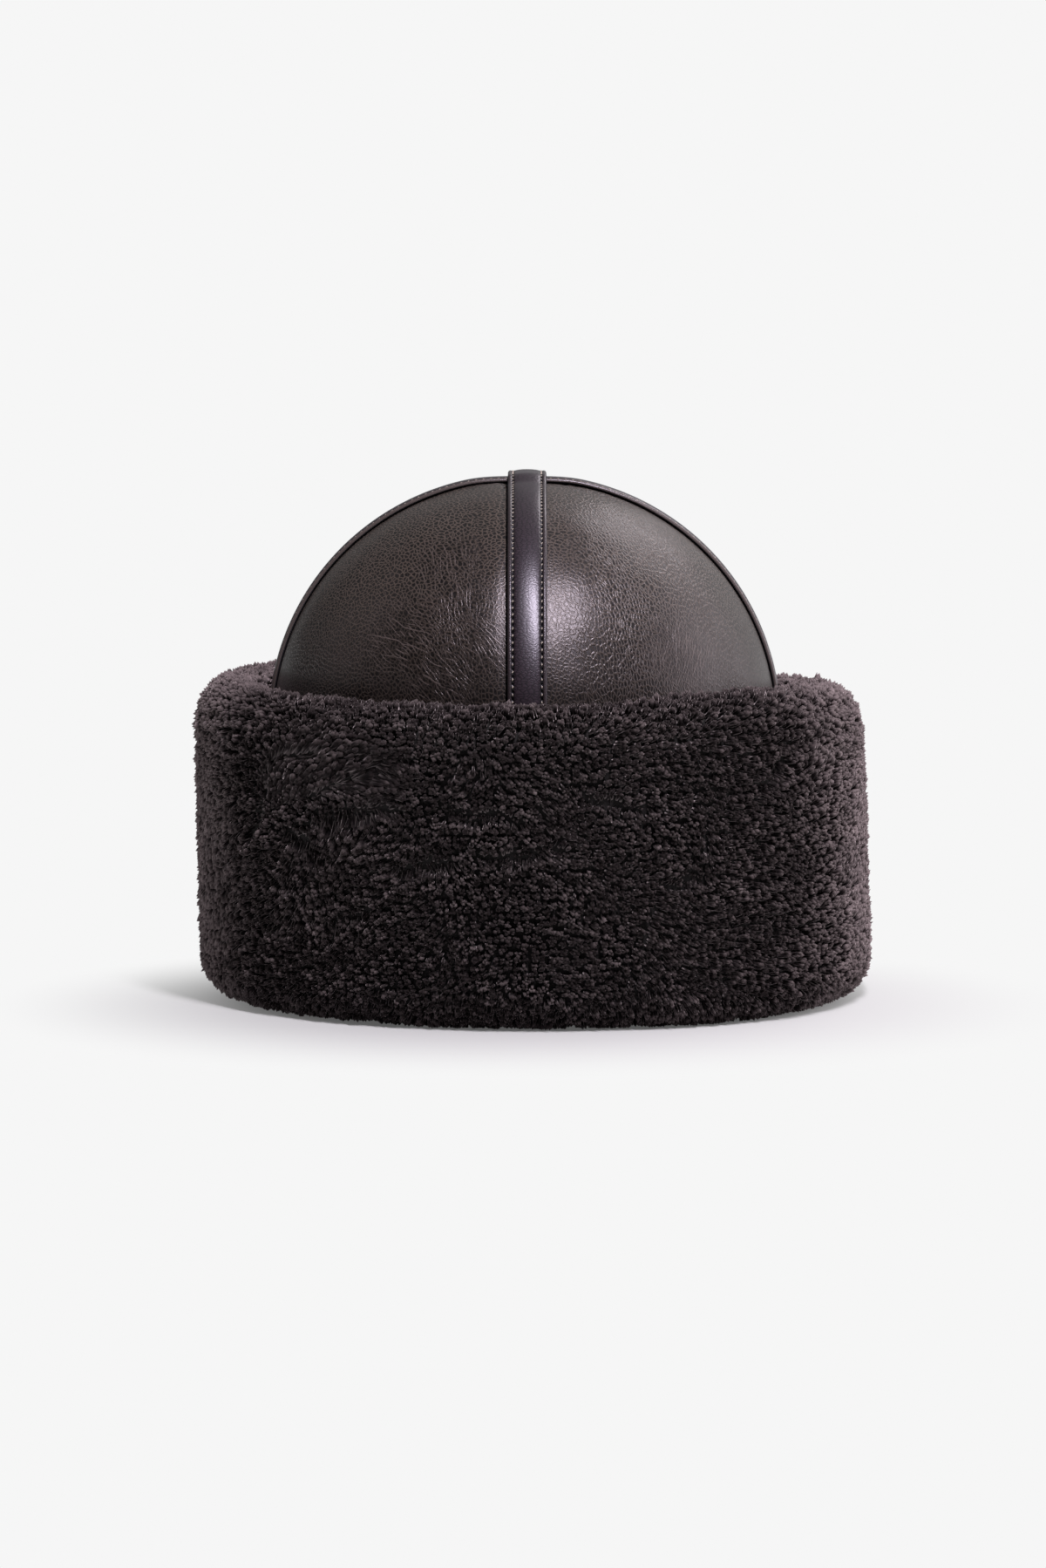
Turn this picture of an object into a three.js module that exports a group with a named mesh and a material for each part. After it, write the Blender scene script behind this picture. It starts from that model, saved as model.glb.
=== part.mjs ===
// A shearling hat: a domed crown of four hide panels, two stitched leather strips
// that cover the seams between them, and a deep turned-up fleece cuff.
// Millimetres, +Z up. The hat stands on the fold of its cuff at z = 0, and its front faces -Y.
// Left and right are as seen by someone who faces the front: left is -X.

import * as THREE from "three";
import { mergeVertices } from "three/addons/utils/BufferGeometryUtils.js";

const { lerp, smoothstep, seededRandom, euclideanModulo } = THREE.MathUtils;
const DEGREE = Math.PI / 180;
const QUARTER_TURN = 90 * DEGREE;
const HALF_TURN = 180 * DEGREE;

// The crown, without its strips: an oval dome on a straight wall that stands inside the cuff.
const crown = {
  axisX: -2.6, // the cuff is fuller on its right, so the crown stands left of the middle
  halfWidth: 91.5,
  halfDepth: 98.7,
  domeFoot: 95, // height where the wall turns into the dome
  domeHeight: 91.2,
  fullness: 2.04, // of the dome's profile: 2 is an ellipse, and more has fuller shoulders
  flatTop: 1, // how far the panels' tips are pressed down
  flatTopReach: 0.24, // share of the crown's width over which they are
  thickness: 9, // hide, and the clipped wool on its inner side
  seamGap: 0.4, // between two panels
  puff: 1.8, // how far a panel swells between its seams
  puffFrom: 8, // distance from a seam where it starts to swell
  puffFull: 28, // and where it has swollen fully
  puffRise: 30, // height above the dome's foot over which the swelling grows
  columns: 10, // facets round one panel
  wallSteps: 3,
  domeSteps: 15,
};

// The strips over the seams: folded leather with a stitched groove near either edge.
const strip = {
  clearance: 0.6, // over the panels
  footGap: 0.4, // above the ledge inside the cuff
  climb: 2.1, // how far the front strip rises to pass over the side strip
  climbUntil: 12, // distance from the crown's top up to which it is raised fully
  climbEnd: 22,
  offCentre: 0.9, // how far the front strip lies to the right of its seam
};

// Half of a strip's face, from its middle line to its edge.
const stripFace = [
  { across: 0, height: 1.7 },
  { across: 4.3, height: 1.6 },
  { across: 5.4, height: 0.9 },
  { across: 6.5, height: 1.6 },
  { across: 7.3, height: 0.8 },
];

// The cuff: a thick band of fleece, turned up outside the crown.
const cuff = {
  axisX: 1.3,
  halfWidth: 122.3,
  halfDepth: 131,
  ledge: 14, // height of the ledge that the crown's lower edge stands on
  ledgeGap: 0.3,
  clearance: 2.7, // from the panels, which leaves room for the strips
  headRound: 6, // radius of the fold towards the head
  foldRound: 14, // and outwards
  crest: 19, // height of the rounded top
  columns: 108, // an even number, so that the clumps close round the band
  foldSteps: 2,
  wallSteps: 12,
  crestSteps: 6,
};

// The cuff is uneven, at eight places round the hat: from the right (+X) towards the back (+Y).
// Foot is how far the foot of its wall stands out of the oval, and lean how far the wall's top
// stands out of its foot.
const cuffRim = [
  { azimuth: 0, height: 112, foot: 0, lean: -2.8 },
  { azimuth: 45, height: 109.5, foot: 0, lean: -1.8 },
  { azimuth: 90, height: 111.5, foot: 0, lean: 0 },
  { azimuth: 135, height: 115, foot: 0, lean: 0.8 },
  { azimuth: 180, height: 115.2, foot: 0, lean: 1.4 },
  { azimuth: 225, height: 113.8, foot: 0, lean: 0.8 },
  { azimuth: 270, height: 113.2, foot: 0, lean: 0 },
  { azimuth: 315, height: 116.4, foot: 4.2, lean: -3.6 },
];

// The fleece stands in clumps. Every second point of its face is the tip of a clump,
// and the points between them are the hollows.
const clump = {
  tip: 1.3,
  tipVariation: 0.7,
  hollow: 1.7,
  stray: 2, // how far a tip leans along the band or up and down
  seed: 7,
};

const leather = new THREE.MeshStandardMaterial({ color: 0x4f4644, roughness: 0.5, metalness: 0 });
const stripLeather = new THREE.MeshStandardMaterial({ color: 0x41353d, roughness: 0.32, metalness: 0 });
const fleece = new THREE.MeshStandardMaterial({ color: 0x2b2527, roughness: 0.95, metalness: 0 });

// A closed solid through sections, each a loop of points that runs counter-clockwise for
// someone who looks along the row of sections. A ring of sections closes on itself. Otherwise
// both ends get a cap, which joins each point of a loop's first half to the one facing it.
function loft(sections, { ring = false } = {}) {
  const count = sections[0].length;
  const triangles = [];
  const quad = (a, b, c, d) => triangles.push([a, b, d], [b, c, d]);
  const steps = ring ? sections.length : sections.length - 1;
  for (let i = 0; i < steps; i++) {
    const here = i * count;
    const next = ((i + 1) % sections.length) * count;
    for (let j = 0; j < count; j++) {
      const k = (j + 1) % count;
      // The diagonal turns from quad to quad, so that it never starts at a clump's tip.
      if ((i + j) % 2 === 0) quad(here + j, next + j, next + k, here + k);
      else quad(next + j, next + k, here + k, here + j);
    }
  }
  if (!ring) {
    const last = (sections.length - 1) * count;
    for (let j = 0; j + 1 < count / 2; j++) {
      const facing = count - 1 - j;
      quad(j, j + 1, facing - 1, facing);
      quad(last + facing, last + facing - 1, last + j + 1, last + j);
    }
  }
  const positions = sections.flat().flatMap((point) => point.toArray());
  const geometry = new THREE.BufferGeometry();
  geometry.setAttribute("position", new THREE.Float32BufferAttribute(positions, 3));
  geometry.setIndex(triangles.flat());
  return withoutFlatTriangles(mergeVertices(geometry, 1e-3));
}

// Drops the triangles that have no area because two of their points became one, as at the top.
function withoutFlatTriangles(geometry) {
  const index = geometry.index.array;
  const kept = [];
  for (let i = 0; i < index.length; i += 3) {
    const [a, b, c] = [index[i], index[i + 1], index[i + 2]];
    if (a !== b && b !== c && c !== a) kept.push(a, b, c);
  }
  geometry.setIndex(kept);
  return geometry;
}

// The crown's profile from its lower edge to its top, for an outer or an inner face.
// Reach is the share of the face's half width or half depth.
function crownProfile(lowerEdge, domeHeight) {
  const power = 2 / crown.fullness;
  const profile = [];
  for (let i = 0; i < crown.wallSteps; i++) {
    profile.push({ reach: 1, z: lerp(lowerEdge, crown.domeFoot, i / crown.wallSteps) });
  }
  for (let i = 0; i <= crown.domeSteps; i++) {
    const rise = QUARTER_TURN * (i / crown.domeSteps);
    const reach = i === crown.domeSteps ? 0 : Math.cos(rise) ** power;
    const pressed = crown.flatTop * (1 - smoothstep(reach, 0, crown.flatTopReach));
    profile.push({ reach, z: crown.domeFoot + domeHeight * Math.sin(rise) ** power - pressed });
  }
  return profile;
}

// The direction that faces away from the crown, at a point of its outer face.
function crownNormal(point) {
  return new THREE.Vector3(
    point.x / crown.halfWidth ** 2,
    point.y / crown.halfDepth ** 2,
    Math.max(0, point.z - crown.domeFoot) / crown.domeHeight ** 2,
  ).normalize();
}

// How far a panel swells at a point. It stays flat along its seams and behind the cuff.
function panelPuff(point) {
  const fromFrontSeam = smoothstep(Math.abs(point.x), crown.puffFrom, crown.puffFull);
  const fromSideSeam = smoothstep(Math.abs(point.y), crown.puffFrom, crown.puffFull);
  const aboveFoot = smoothstep(point.z, crown.domeFoot, crown.domeFoot + crown.puffRise);
  return crown.puff * fromFrontSeam * fromSideSeam * aboveFoot;
}

// A quarter of the crown, from the seam at this angle to the next one.
function panelGeometry(fromAngle) {
  const lowerEdge = cuff.ledge + cuff.ledgeGap;
  const hide = crownProfile(lowerEdge, crown.domeHeight);
  const wool = crownProfile(lowerEdge, crown.domeHeight - crown.thickness).reverse();
  const sections = [];
  for (let i = 0; i <= crown.columns; i++) {
    const angle = fromAngle + QUARTER_TURN * (i / crown.columns);
    const place = (halfWidth, halfDepth, z) =>
      new THREE.Vector3(halfWidth * Math.cos(angle), halfDepth * Math.sin(angle), z);
    const outer = hide.map(({ reach, z }) => {
      const point = place(crown.halfWidth * reach, crown.halfDepth * reach, z);
      return point.addScaledVector(crownNormal(point), panelPuff(point));
    });
    const inner = wool.map(({ reach, z }) =>
      place((crown.halfWidth - crown.thickness) * reach, (crown.halfDepth - crown.thickness) * reach, z),
    );
    sections.push([...outer, ...inner]);
  }
  const middle = fromAngle + QUARTER_TURN / 2;
  const half = crown.seamGap / 2;
  return loft(sections).translate(half * Math.sign(Math.cos(middle)), half * Math.sign(Math.sin(middle)), 0);
}

// A strip along a seam, from inside the cuff over the crown's top and down to the cuff again.
// Along is the direction in which it runs, and climb how far it rises to cross the other strip.
function stripGeometry(along, climb) {
  const sideways = new THREE.Vector3(-along.y, along.x, 0);
  const halfLength = along.x ? crown.halfWidth : crown.halfDepth;
  const up = crownProfile(cuff.ledge + strip.footGap, crown.domeHeight);
  const down = up.slice(0, -1).reverse();
  const route = [
    ...up.map(({ reach, z }) => ({ run: -reach * halfLength, z })),
    ...down.map(({ reach, z }) => ({ run: reach * halfLength, z })),
  ];
  const right = stripFace.slice(1).map(({ across, height }) => ({ across: -across, height }));
  const face = [...right.reverse(), ...stripFace];
  const sections = route.map(({ run, z }) => {
    const centre = along.clone().multiplyScalar(run).setZ(z);
    const normal = crownNormal(centre);
    const raised = climb * (1 - smoothstep(Math.abs(run), strip.climbUntil, strip.climbEnd));
    const place = (across, height) => {
      const roundTheCrown = across ** 2 / (2 * crown.halfWidth);
      const offset = strip.clearance + raised + height - roundTheCrown;
      return centre.clone().addScaledVector(sideways, across).addScaledVector(normal, offset);
    };
    const underside = face.map(({ across }) => place(across, 0)).reverse();
    return [...face.map(({ across, height }) => place(across, height)), ...underside];
  });
  return loft(sections);
}

// A value of the rim's table at any angle, eased from one row to the next.
function rimAt(angle) {
  const place = euclideanModulo(angle / DEGREE, 360) / (360 / cuffRim.length);
  const row = cuffRim[Math.floor(place)];
  const nextRow = cuffRim[(Math.floor(place) + 1) % cuffRim.length];
  const value = (column) => lerp(row[column], nextRow[column], smoothstep(place % 1, 0, 1));
  return { height: value("height"), foot: value("foot"), lean: value("lean") };
}

// The cuff's section: out is the distance from the crown's panels, and facing the direction
// that the fleece points in, from straight out (0) to straight up. Bare points have none.
function cuffOutline(width, rim) {
  const arc = (centreOut, centreZ, radiusOut, radiusZ, from, to, steps) =>
    Array.from({ length: steps + 1 }, (_, i) => {
      const facing = lerp(from, to, i / steps);
      const out = centreOut + radiusOut * Math.cos(facing);
      return { out, z: centreZ + radiusZ * Math.sin(facing), facing };
    });
  const bare = ({ out, z }) => ({ out, z });
  const { headRound, foldRound } = cuff;
  const wallTop = rim.height - cuff.crest;
  const topWidth = width + rim.lean;
  const crestHalf = (topWidth - cuff.clearance) / 2;

  const headSide = arc(headRound - crown.thickness, headRound, headRound, headRound, HALF_TURN, 1.5 * HALF_TURN, 2);
  const fold = arc(width - foldRound, foldRound, foldRound, foldRound, -QUARTER_TURN, 0, cuff.foldSteps);
  const wall = Array.from({ length: cuff.wallSteps - 1 }, (_, i) => {
    const share = (i + 1) / cuff.wallSteps;
    return { out: lerp(width, topWidth, share), z: lerp(foldRound, wallTop, share), facing: 0 };
  });
  const crest = arc(topWidth - crestHalf, wallTop, crestHalf, cuff.crest, 0, HALF_TURN, cuff.crestSteps);
  return [
    { out: -crown.thickness, z: cuff.ledge },
    ...headSide.map(bare),
    bare(fold[0]),
    ...fold.slice(1),
    ...wall,
    ...crest.slice(0, -1),
    bare(crest.at(-1)),
    { out: cuff.clearance, z: cuff.ledge },
  ];
}

function cuffGeometry() {
  seededRandom(clump.seed);
  const signedRandom = () => 2 * seededRandom() - 1;
  const sections = Array.from({ length: cuff.columns }, (_, column) => {
    const angle = 2 * HALF_TURN * (column / cuff.columns);
    const [c, s] = [Math.cos(angle), Math.sin(angle)];
    const inner = new THREE.Vector3(crown.axisX + crown.halfWidth * c, crown.halfDepth * s, 0);
    const outer = new THREE.Vector3(cuff.axisX + cuff.halfWidth * c, cuff.halfDepth * s, 0);
    const rim = rimAt(angle);
    const width = inner.distanceTo(outer) + rim.foot;
    const outwards = outer.sub(inner).normalize();
    const onwards = new THREE.Vector3(-outwards.y, outwards.x, 0);
    return cuffOutline(width, rim).map(({ out, z, facing }, row) => {
      const point = inner.clone().addScaledVector(outwards, out).setZ(z);
      if (facing === undefined) return point;
      const normal = outwards.clone().multiplyScalar(Math.cos(facing)).setZ(Math.sin(facing));
      if ((column + row) % 2 === 1) return point.addScaledVector(normal, -clump.hollow);
      const upwards = onwards.clone().cross(normal).negate();
      return point
        .addScaledVector(normal, clump.tip + clump.tipVariation * signedRandom())
        .addScaledVector(onwards, clump.stray * signedRandom())
        .addScaledVector(upwards, clump.stray * signedRandom());
    });
  });
  return loft(sections, { ring: true });
}

function named(name, geometry, material) {
  const mesh = new THREE.Mesh(geometry, material);
  mesh.name = name;
  return mesh;
}

const panels = [
  { name: "crown_panel_back_right", fromAngle: 0 },
  { name: "crown_panel_back_left", fromAngle: QUARTER_TURN },
  { name: "crown_panel_front_left", fromAngle: 2 * QUARTER_TURN },
  { name: "crown_panel_front_right", fromAngle: 3 * QUARTER_TURN },
];

const sideStrip = stripGeometry(new THREE.Vector3(1, 0, 0), 0);
const frontStrip = stripGeometry(new THREE.Vector3(0, 1, 0), strip.climb).translate(strip.offCentre, 0, 0);

const wholeCrown = new THREE.Group();
wholeCrown.position.x = crown.axisX;
wholeCrown.add(
  ...panels.map(({ name, fromAngle }) => named(name, panelGeometry(fromAngle), leather)),
  named("seam_strip_side_to_side", sideStrip, stripLeather),
  named("seam_strip_front_to_back", frontStrip, stripLeather),
);

const hat = new THREE.Group();
hat.add(wholeCrown, named("cuff", cuffGeometry(), fleece));

export default hat;
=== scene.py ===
"""A shearling hat: hide panels, stitched strips over their seams and a turned-up fleece cuff."""

import math
from collections import namedtuple
from functools import partial

import bpy
import numpy as np
from bpy.props import FloatProperty, FloatVectorProperty, IntProperty, PointerProperty
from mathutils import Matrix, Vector


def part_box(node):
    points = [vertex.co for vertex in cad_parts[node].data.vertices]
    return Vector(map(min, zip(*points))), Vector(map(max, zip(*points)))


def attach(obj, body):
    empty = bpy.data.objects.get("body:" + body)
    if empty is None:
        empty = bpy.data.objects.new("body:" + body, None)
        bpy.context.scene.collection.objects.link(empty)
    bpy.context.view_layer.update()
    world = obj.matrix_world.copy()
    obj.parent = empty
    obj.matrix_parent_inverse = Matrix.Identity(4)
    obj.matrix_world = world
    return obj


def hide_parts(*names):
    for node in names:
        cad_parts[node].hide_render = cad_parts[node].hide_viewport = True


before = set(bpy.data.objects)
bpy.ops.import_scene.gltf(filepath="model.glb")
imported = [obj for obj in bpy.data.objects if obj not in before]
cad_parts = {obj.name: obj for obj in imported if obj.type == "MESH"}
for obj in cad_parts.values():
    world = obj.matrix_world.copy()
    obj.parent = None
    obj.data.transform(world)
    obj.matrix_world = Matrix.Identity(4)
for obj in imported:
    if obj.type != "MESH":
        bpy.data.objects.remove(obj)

bl_info = {
    "name": "Shearling Hat",
    "version": (1, 0, 0),
    "blender": (4, 5, 0),
    "location": "3D Viewport > Sidebar > Hat",
    "description": "Dresses a shearling hat's frame in hide, stitched strips and fleece",
    "category": "Add Mesh",
}

MM = 0.001
TURN = 2.0 * math.pi
QUARTER_TURN = math.pi / 2.0
DEGREE = math.pi / 180.0

BODY = "root"
HIDE_SLOT = "crown_leather"
STRIP_SLOT = "strip_leather"
FLEECE_SLOT = "fleece"
CURL_MAP = "CurlMap"
BAKE_MAP = "OFBake"
ROUTE_MAP = "RouteMap"
HIDE_MAP = "HideMap"

# The seam from front to back lies in the gap beside this panel.
FIRST_PANEL_LOW, FIRST_PANEL_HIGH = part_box("crown_panel_front_left")
SEAM_GAP = 0.4 * MM
SEAM_PLACE = FIRST_PANEL_HIGH.x + SEAM_GAP / 2

# The four panels, by the angle of the seam that each one starts at.
Panel = namedtuple("Panel", "node from_angle")
PANELS = [
    Panel("crown_panel_back_right", 0.0),
    Panel("crown_panel_back_left", QUARTER_TURN),
    Panel("crown_panel_front_left", 2 * QUARTER_TURN),
    Panel("crown_panel_front_right", 3 * QUARTER_TURN),
]

# How far from a strip's middle line the hide changes its lie: it is tucked under the strip, dips
# into the gutter beside it, rises out of it, and settles from its swelling to its even lie.
TUCKED = (4.6 * MM, 5.8 * MM)
DIPS = (5.8 * MM, 6.8 * MM)
RISES = (7.0 * MM, 7.5 * MM)
SWELLS_FROM = 6.9 * MM
SETTLES = (12 * MM, 36 * MM)
SETTLES_BY = 0.7
TUCK_HEIGHT = 0.3 * MM
SIDE_SHOULDER_REACH = 0.9 * MM

# The distances from a seam, in millimetres, at which a panel has columns of points. They lie
# closest together where the gutter is.
COLUMNS_BY_SEAM = [0.0, 5.0, 5.7, 6.2, 6.6, 6.85, 7.05, 7.25, 7.45, 7.7, 8.1, 9.0, 10.2, 12.5]
COLUMNS_BETWEEN = 36

# Over which width from its seams and which height from its foot a panel swells, and how its skin
# ripples away from its seams.
PUFF_WIDTH = (6 * MM, 46 * MM)
PUFF_HEIGHT = 30 * MM
RIPPLE = 0.22 * MM
RIPPLE_LENGTH = 30 * MM
RIPPLE_WIDTH = (8 * MM, 16 * MM)
RIPPLE_SEED = 5

# Sizes in the hide's pattern, in millimetres. Real pores are finer than the picture can show, so
# they are drawn as coarse as they need to be.
DIMPLE = 1.6
PORE = 0.9
SLACK_PATCH = 26.0
CLOUD = 45.0

# From the seam under the front strip, the hide is pulled smooth up to the first distance and lies
# loose from the second one on.
PULLED = (10 * MM, 26 * MM)

# Where the hide is loose and creased: the crease's place, how far it reaches, both in millimetres,
# and which of the two ways its lines run.
LooseSpot = namedtuple("LooseSpot", "place reach way")
LOOSE_SPOTS = [
    LooseSpot((-33, -70, 168), 24, "upright"),
    LooseSpot((-29, -84, 152), 20, "upright"),
    LooseSpot((-15, -97, 136), 20, "slanting"),
    LooseSpot((-50, -82, 138), 27, "slanting"),
    LooseSpot((-34, -94, 124), 22, "slanting"),
    LooseSpot((31, -51, 181), 26, "slanting"),
    LooseSpot((56, -72, 128), 24, "upright"),
]

# Half of a strip's section from its middle line to its side and under it, in millimetres.
StripPoint = namedtuple("StripPoint", "across height")
STRIP_SECTION = [
    StripPoint(0.0, 1.74),
    StripPoint(1.6, 1.72),
    StripPoint(3.0, 1.62),
    StripPoint(3.9, 1.50),
    StripPoint(4.5, 1.39),
    StripPoint(4.85, 1.29),
    StripPoint(5.15, 1.25),
    StripPoint(5.45, 1.30),
    StripPoint(5.75, 1.42),
    StripPoint(6.15, 1.50),
    StripPoint(6.55, 1.42),
    StripPoint(6.85, 1.15),
    StripPoint(7.0, 0.75),
    StripPoint(6.9, 0.25),
    StripPoint(6.5, 0.0),
    StripPoint(3.0, 0.0),
]

# A strip shows from the crown's top down to where the cuff hides it. The holes' length is a share
# of a stitch.
STRIP_SHOWN = 138 * MM
HIDDEN_STATIONS = 14
HOLE_LENGTH = 0.2
HOLE_WIDTH = 0.35 * MM
STITCH_HEIGHT = 1.3 * MM

# A stitch slants by this share of its length, and its slant and length vary by these shares.
SLANT = 0.3
SLANT_VARIES = 0.12
LENGTH_VARIES = 0.08
STITCH_SEED = 3

# The unevenness of the cuff at every eighth of a turn, from +X towards +Y, in millimetres. Foot is
# how far the foot of its wall stands out of the oval, and lean how far the wall's top stands out
# of its foot.
RimPlace = namedtuple("RimPlace", "height foot lean")
CUFF_RIM = [
    RimPlace(112.0, 0.0, -2.8),
    RimPlace(109.5, 0.0, -1.8),
    RimPlace(111.5, 0.0, 0.0),
    RimPlace(115.0, 0.0, 0.8),
    RimPlace(115.2, 0.0, 1.4),
    RimPlace(113.8, 0.0, 0.8),
    RimPlace(113.2, 0.0, 0.0),
    RimPlace(116.4, 4.2, -3.6),
]

# The cuff's face in the order of its section, with each zone's usual length in millimetres.
ZONES = {"mouth": 9.5, "underside": 18.0, "fold": 22.0, "wall": 80.0, "crest": 51.0}
BAND_STEP = 5.0
BAND_COLUMNS = 180

# The pieces that the curls are made in, for each quarter of the hat: the sides of a curl, how much
# wider apart the curls stand than on the wall, and the zones.
FleeceGroup = namedtuple("FleeceGroup", "name sides widen zones")
FLEECE_GROUPS = [
    FleeceGroup("cuff_fleece", 4, 1.0, ("fold", "wall")),
    FleeceGroup("rim_fleece", 4, 1.0, ("crest",)),
    FleeceGroup("underside_fleece", 3, 1.5, ("mouth", "underside")),
]

# How unevenly the curls stand: how far they lean in waves, a little more down than up by the share
# that they sag, how far each tuft is shaken and strays out of the others, and how far a single curl
# jumps out of its tuft and bends. Rows of tufts lie as close as in a net of even triangles, and
# tufts are scattered by shares of their spacing. No curl comes closer to the floor than OFF_FLOOR.
LEAN = 0.75 * MM
SAG = 0.3
SHAKE = 0.3 * MM
STRAY = 0.42 * MM
CREST_STRAY = 0.5 * MM
JUMP = 0.25 * MM
SWAY = 0.14 * MM
ROW_SHARE = 0.87
ROW_POINTS = 64
ROW_SCATTER = 0.32
SCATTER = 0.3
OFF_FLOOR = 0.05 * MM

# Wavelengths of the unevenness: of the fleece's lie round the cuff and up it, broad and fine, and
# of its bulges, clumps and tangles.
LIE_ROUND = (42 * MM, 16 * MM)
LIE_UP = (38 * MM, 14 * MM)
BULGES = 24 * MM
CLUMPS = 9 * MM
TANGLES = 5 * MM

# How pale the curls are from 0 to 1 away from the painted rim light, and where the sides and the
# back's crest get painted rim light and lie more evenly: from the first to the second cosine, or
# sine, of the angle round the hat.
EVEN_TONE = 0.07
RIM_LIT_RIGHT = (0.66, 0.99)
RIM_LIT_LEFT = (0.82, 0.99)
RIM_LIT_BACK = (-0.3, 0.3)

# Where the fleece has parted on the cuff's wall. Azimuth is from +X and slope is the parting's own
# direction, both in degrees, share is the place up the wall, and push is how far the curls lean
# away from it. Length and push are in millimetres.
Parting = namedtuple("Parting", "azimuth share slope length push")
PARTINGS = [
    Parting(262, 0.77, -3, 30, 1.5),
    Parting(268, 0.60, 4, 34, 1.2),
    Parting(251, 0.55, 8, 24, 1.4),
    Parting(284, 0.80, -6, 30, 1.0),
    Parting(296, 0.46, 12, 24, 1.0),
    Parting(238, 0.76, 8, 34, 1.8),
    Parting(231, 0.84, 26, 22, 1.5),
    Parting(225, 0.98, 12, 26, 1.6),
    Parting(226, 0.62, -18, 24, 1.6),
    Parting(215, 0.72, 62, 26, 1.4),
    Parting(239, 0.92, 20, 22, 1.4),
    Parting(246, 0.99, 14, 24, 1.2),
    Parting(236, 0.30, 22, 20, 1.2),
    Parting(330, 0.78, 70, 24, 1.2),
    Parting(313, 0.88, 40, 20, 1.2),
]
PARTING_DEPTH = 3.2 * MM
PARTING_WIDTH = 1.9 * MM
PUSHED_WIDTH = 4.2 * MM
PARTING_WANDER = 1.1 * MM
PARTING_SEED = 29

# Where the fleece has been combed flatter, and the way that it lies there. Azimuth, share and reach
# give the place and its radius, onwards is towards +Y from +X round the hat, and groove is how deep
# the hollows between the locks are. All but the first two are in millimetres.
Combing = namedtuple("Combing", "azimuth share reach onwards upwards groove")
COMBING = [
    Combing(230, 0.97, 17, 6.0, 2.6, 3.6),
    Combing(241, 0.92, 15, 6.0, 1.6, 3.4),
    Combing(221, 0.84, 15, 4.0, 3.4, 3.2),
    Combing(236, 0.68, 13, -2.6, -4.2, 2.2),
    Combing(226, 0.35, 20, 1.2, -3.0, 1.4),
    Combing(194, 0.60, 36, 0.5, -4.4, 2.0),
    Combing(196, 0.10, 26, 0.5, -3.8, 1.8),
    Combing(346, 0.55, 36, -0.3, 4.4, 2.0),
    Combing(345, 0.05, 26, 0.3, 3.8, 1.8),
    Combing(324, 0.92, 18, 1.0, 3.4, 1.6),
]
LOCK_WIDTH = 4.0 * MM

# The clipped wool inside the crown: from one curl to the next, how thick and how pale a curl is,
# and how far its tip strays.
CROWN_WOOL_SPACING = 3.3 * MM
CROWN_WOOL_RADIUS = 1.55 * MM
CROWN_WOOL_TONE = 0.26
CROWN_WOOL_STRAY = 0.8 * MM

# The camera's sensor in millimetres, and how far it sees in metres.
SENSOR_WIDTH = 36.0
FURTHEST_SEEN = 50.0

# The soft lights, each with its place and size in metres. All are aimed at the hat's middle.
Lamp = namedtuple("Lamp", "name place size colour")
LAMPS = [
    Lamp("key", (0.31, -0.80, 1.55), (0.15, 0.8), "#fdf9ff"),
    Lamp("side", (1.5, 0.3, 0.5), (1.6, 1.6), "#fff7fa"),
    Lamp("fill", (-1.4, 0.35, 1.0), (1.1, 1.2), "#fff7f6"),
    Lamp("rim", (0.75, 1.1, 1.3), (0.9, 0.6), "#fff8fa"),
]
LAMPS_AIM = (0.0, 0.0, 0.1)

# The floor is nearly all lit paper within the first distance from its shaded middle, and glows as
# evenly as the surroundings beyond the second one. All are in metres.
FLOOR_RADIUS = 6.0
FLOOR_SHADE = (0.0, -0.05, 0.0)
FLOOR_FADES = (0.08, 0.2)

# Settings that many shader nodes share.
SMOOTH = {"interpolation_type": "SMOOTHSTEP"}
COLOURS = {"data_type": "RGBA"}


def ease(value, low, high):
    """0 below low and 1 above high, with a smooth turn at both ends."""
    share = np.clip((value - low) / (high - low), 0.0, 1.0)
    return share * share * (3.0 - 2.0 * share)


def unit(vectors):
    return vectors / np.maximum(np.linalg.norm(vectors, axis=-1, keepdims=True), 1e-12)


def waves(points, wavelength, random, count=7):
    """A smooth random field round 0, mostly within 1, that changes over this wavelength."""
    total = np.zeros(points.shape[:-1])
    for _ in range(count):
        direction = unit(random.normal(size=3))
        period = wavelength * random.uniform(0.7, 1.5)
        total += np.sin(points @ direction * (TURN / period) + random.uniform(0.0, TURN))
    return total / math.sqrt(count)


def linear(hex_colour):
    """An sRGB colour such as #4a423f as linear red, green, blue and alpha."""
    channels = [int(hex_colour[place:place + 2], 16) / 255.0 for place in (1, 3, 5)]
    curve = [c / 12.92 if c <= 0.04045 else ((c + 0.055) / 1.055) ** 2.4 for c in channels]
    return (*curve, 1.0)


def opaque(colour):
    return (*colour, 1.0)


def length(name, description, default):
    return FloatProperty(name=name, description=description, unit="LENGTH", default=default)


def factor(name, description, default):
    return FloatProperty(name=name, description=description, subtype="FACTOR", default=default)


def power(name, description, default):
    return FloatProperty(name=name, description=description, unit="POWER", default=default)


def colour(name, description, hex_colour):
    return FloatVectorProperty(
        name=name, description=description, subtype="COLOR", default=linear(hex_colour)[:3])


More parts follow.
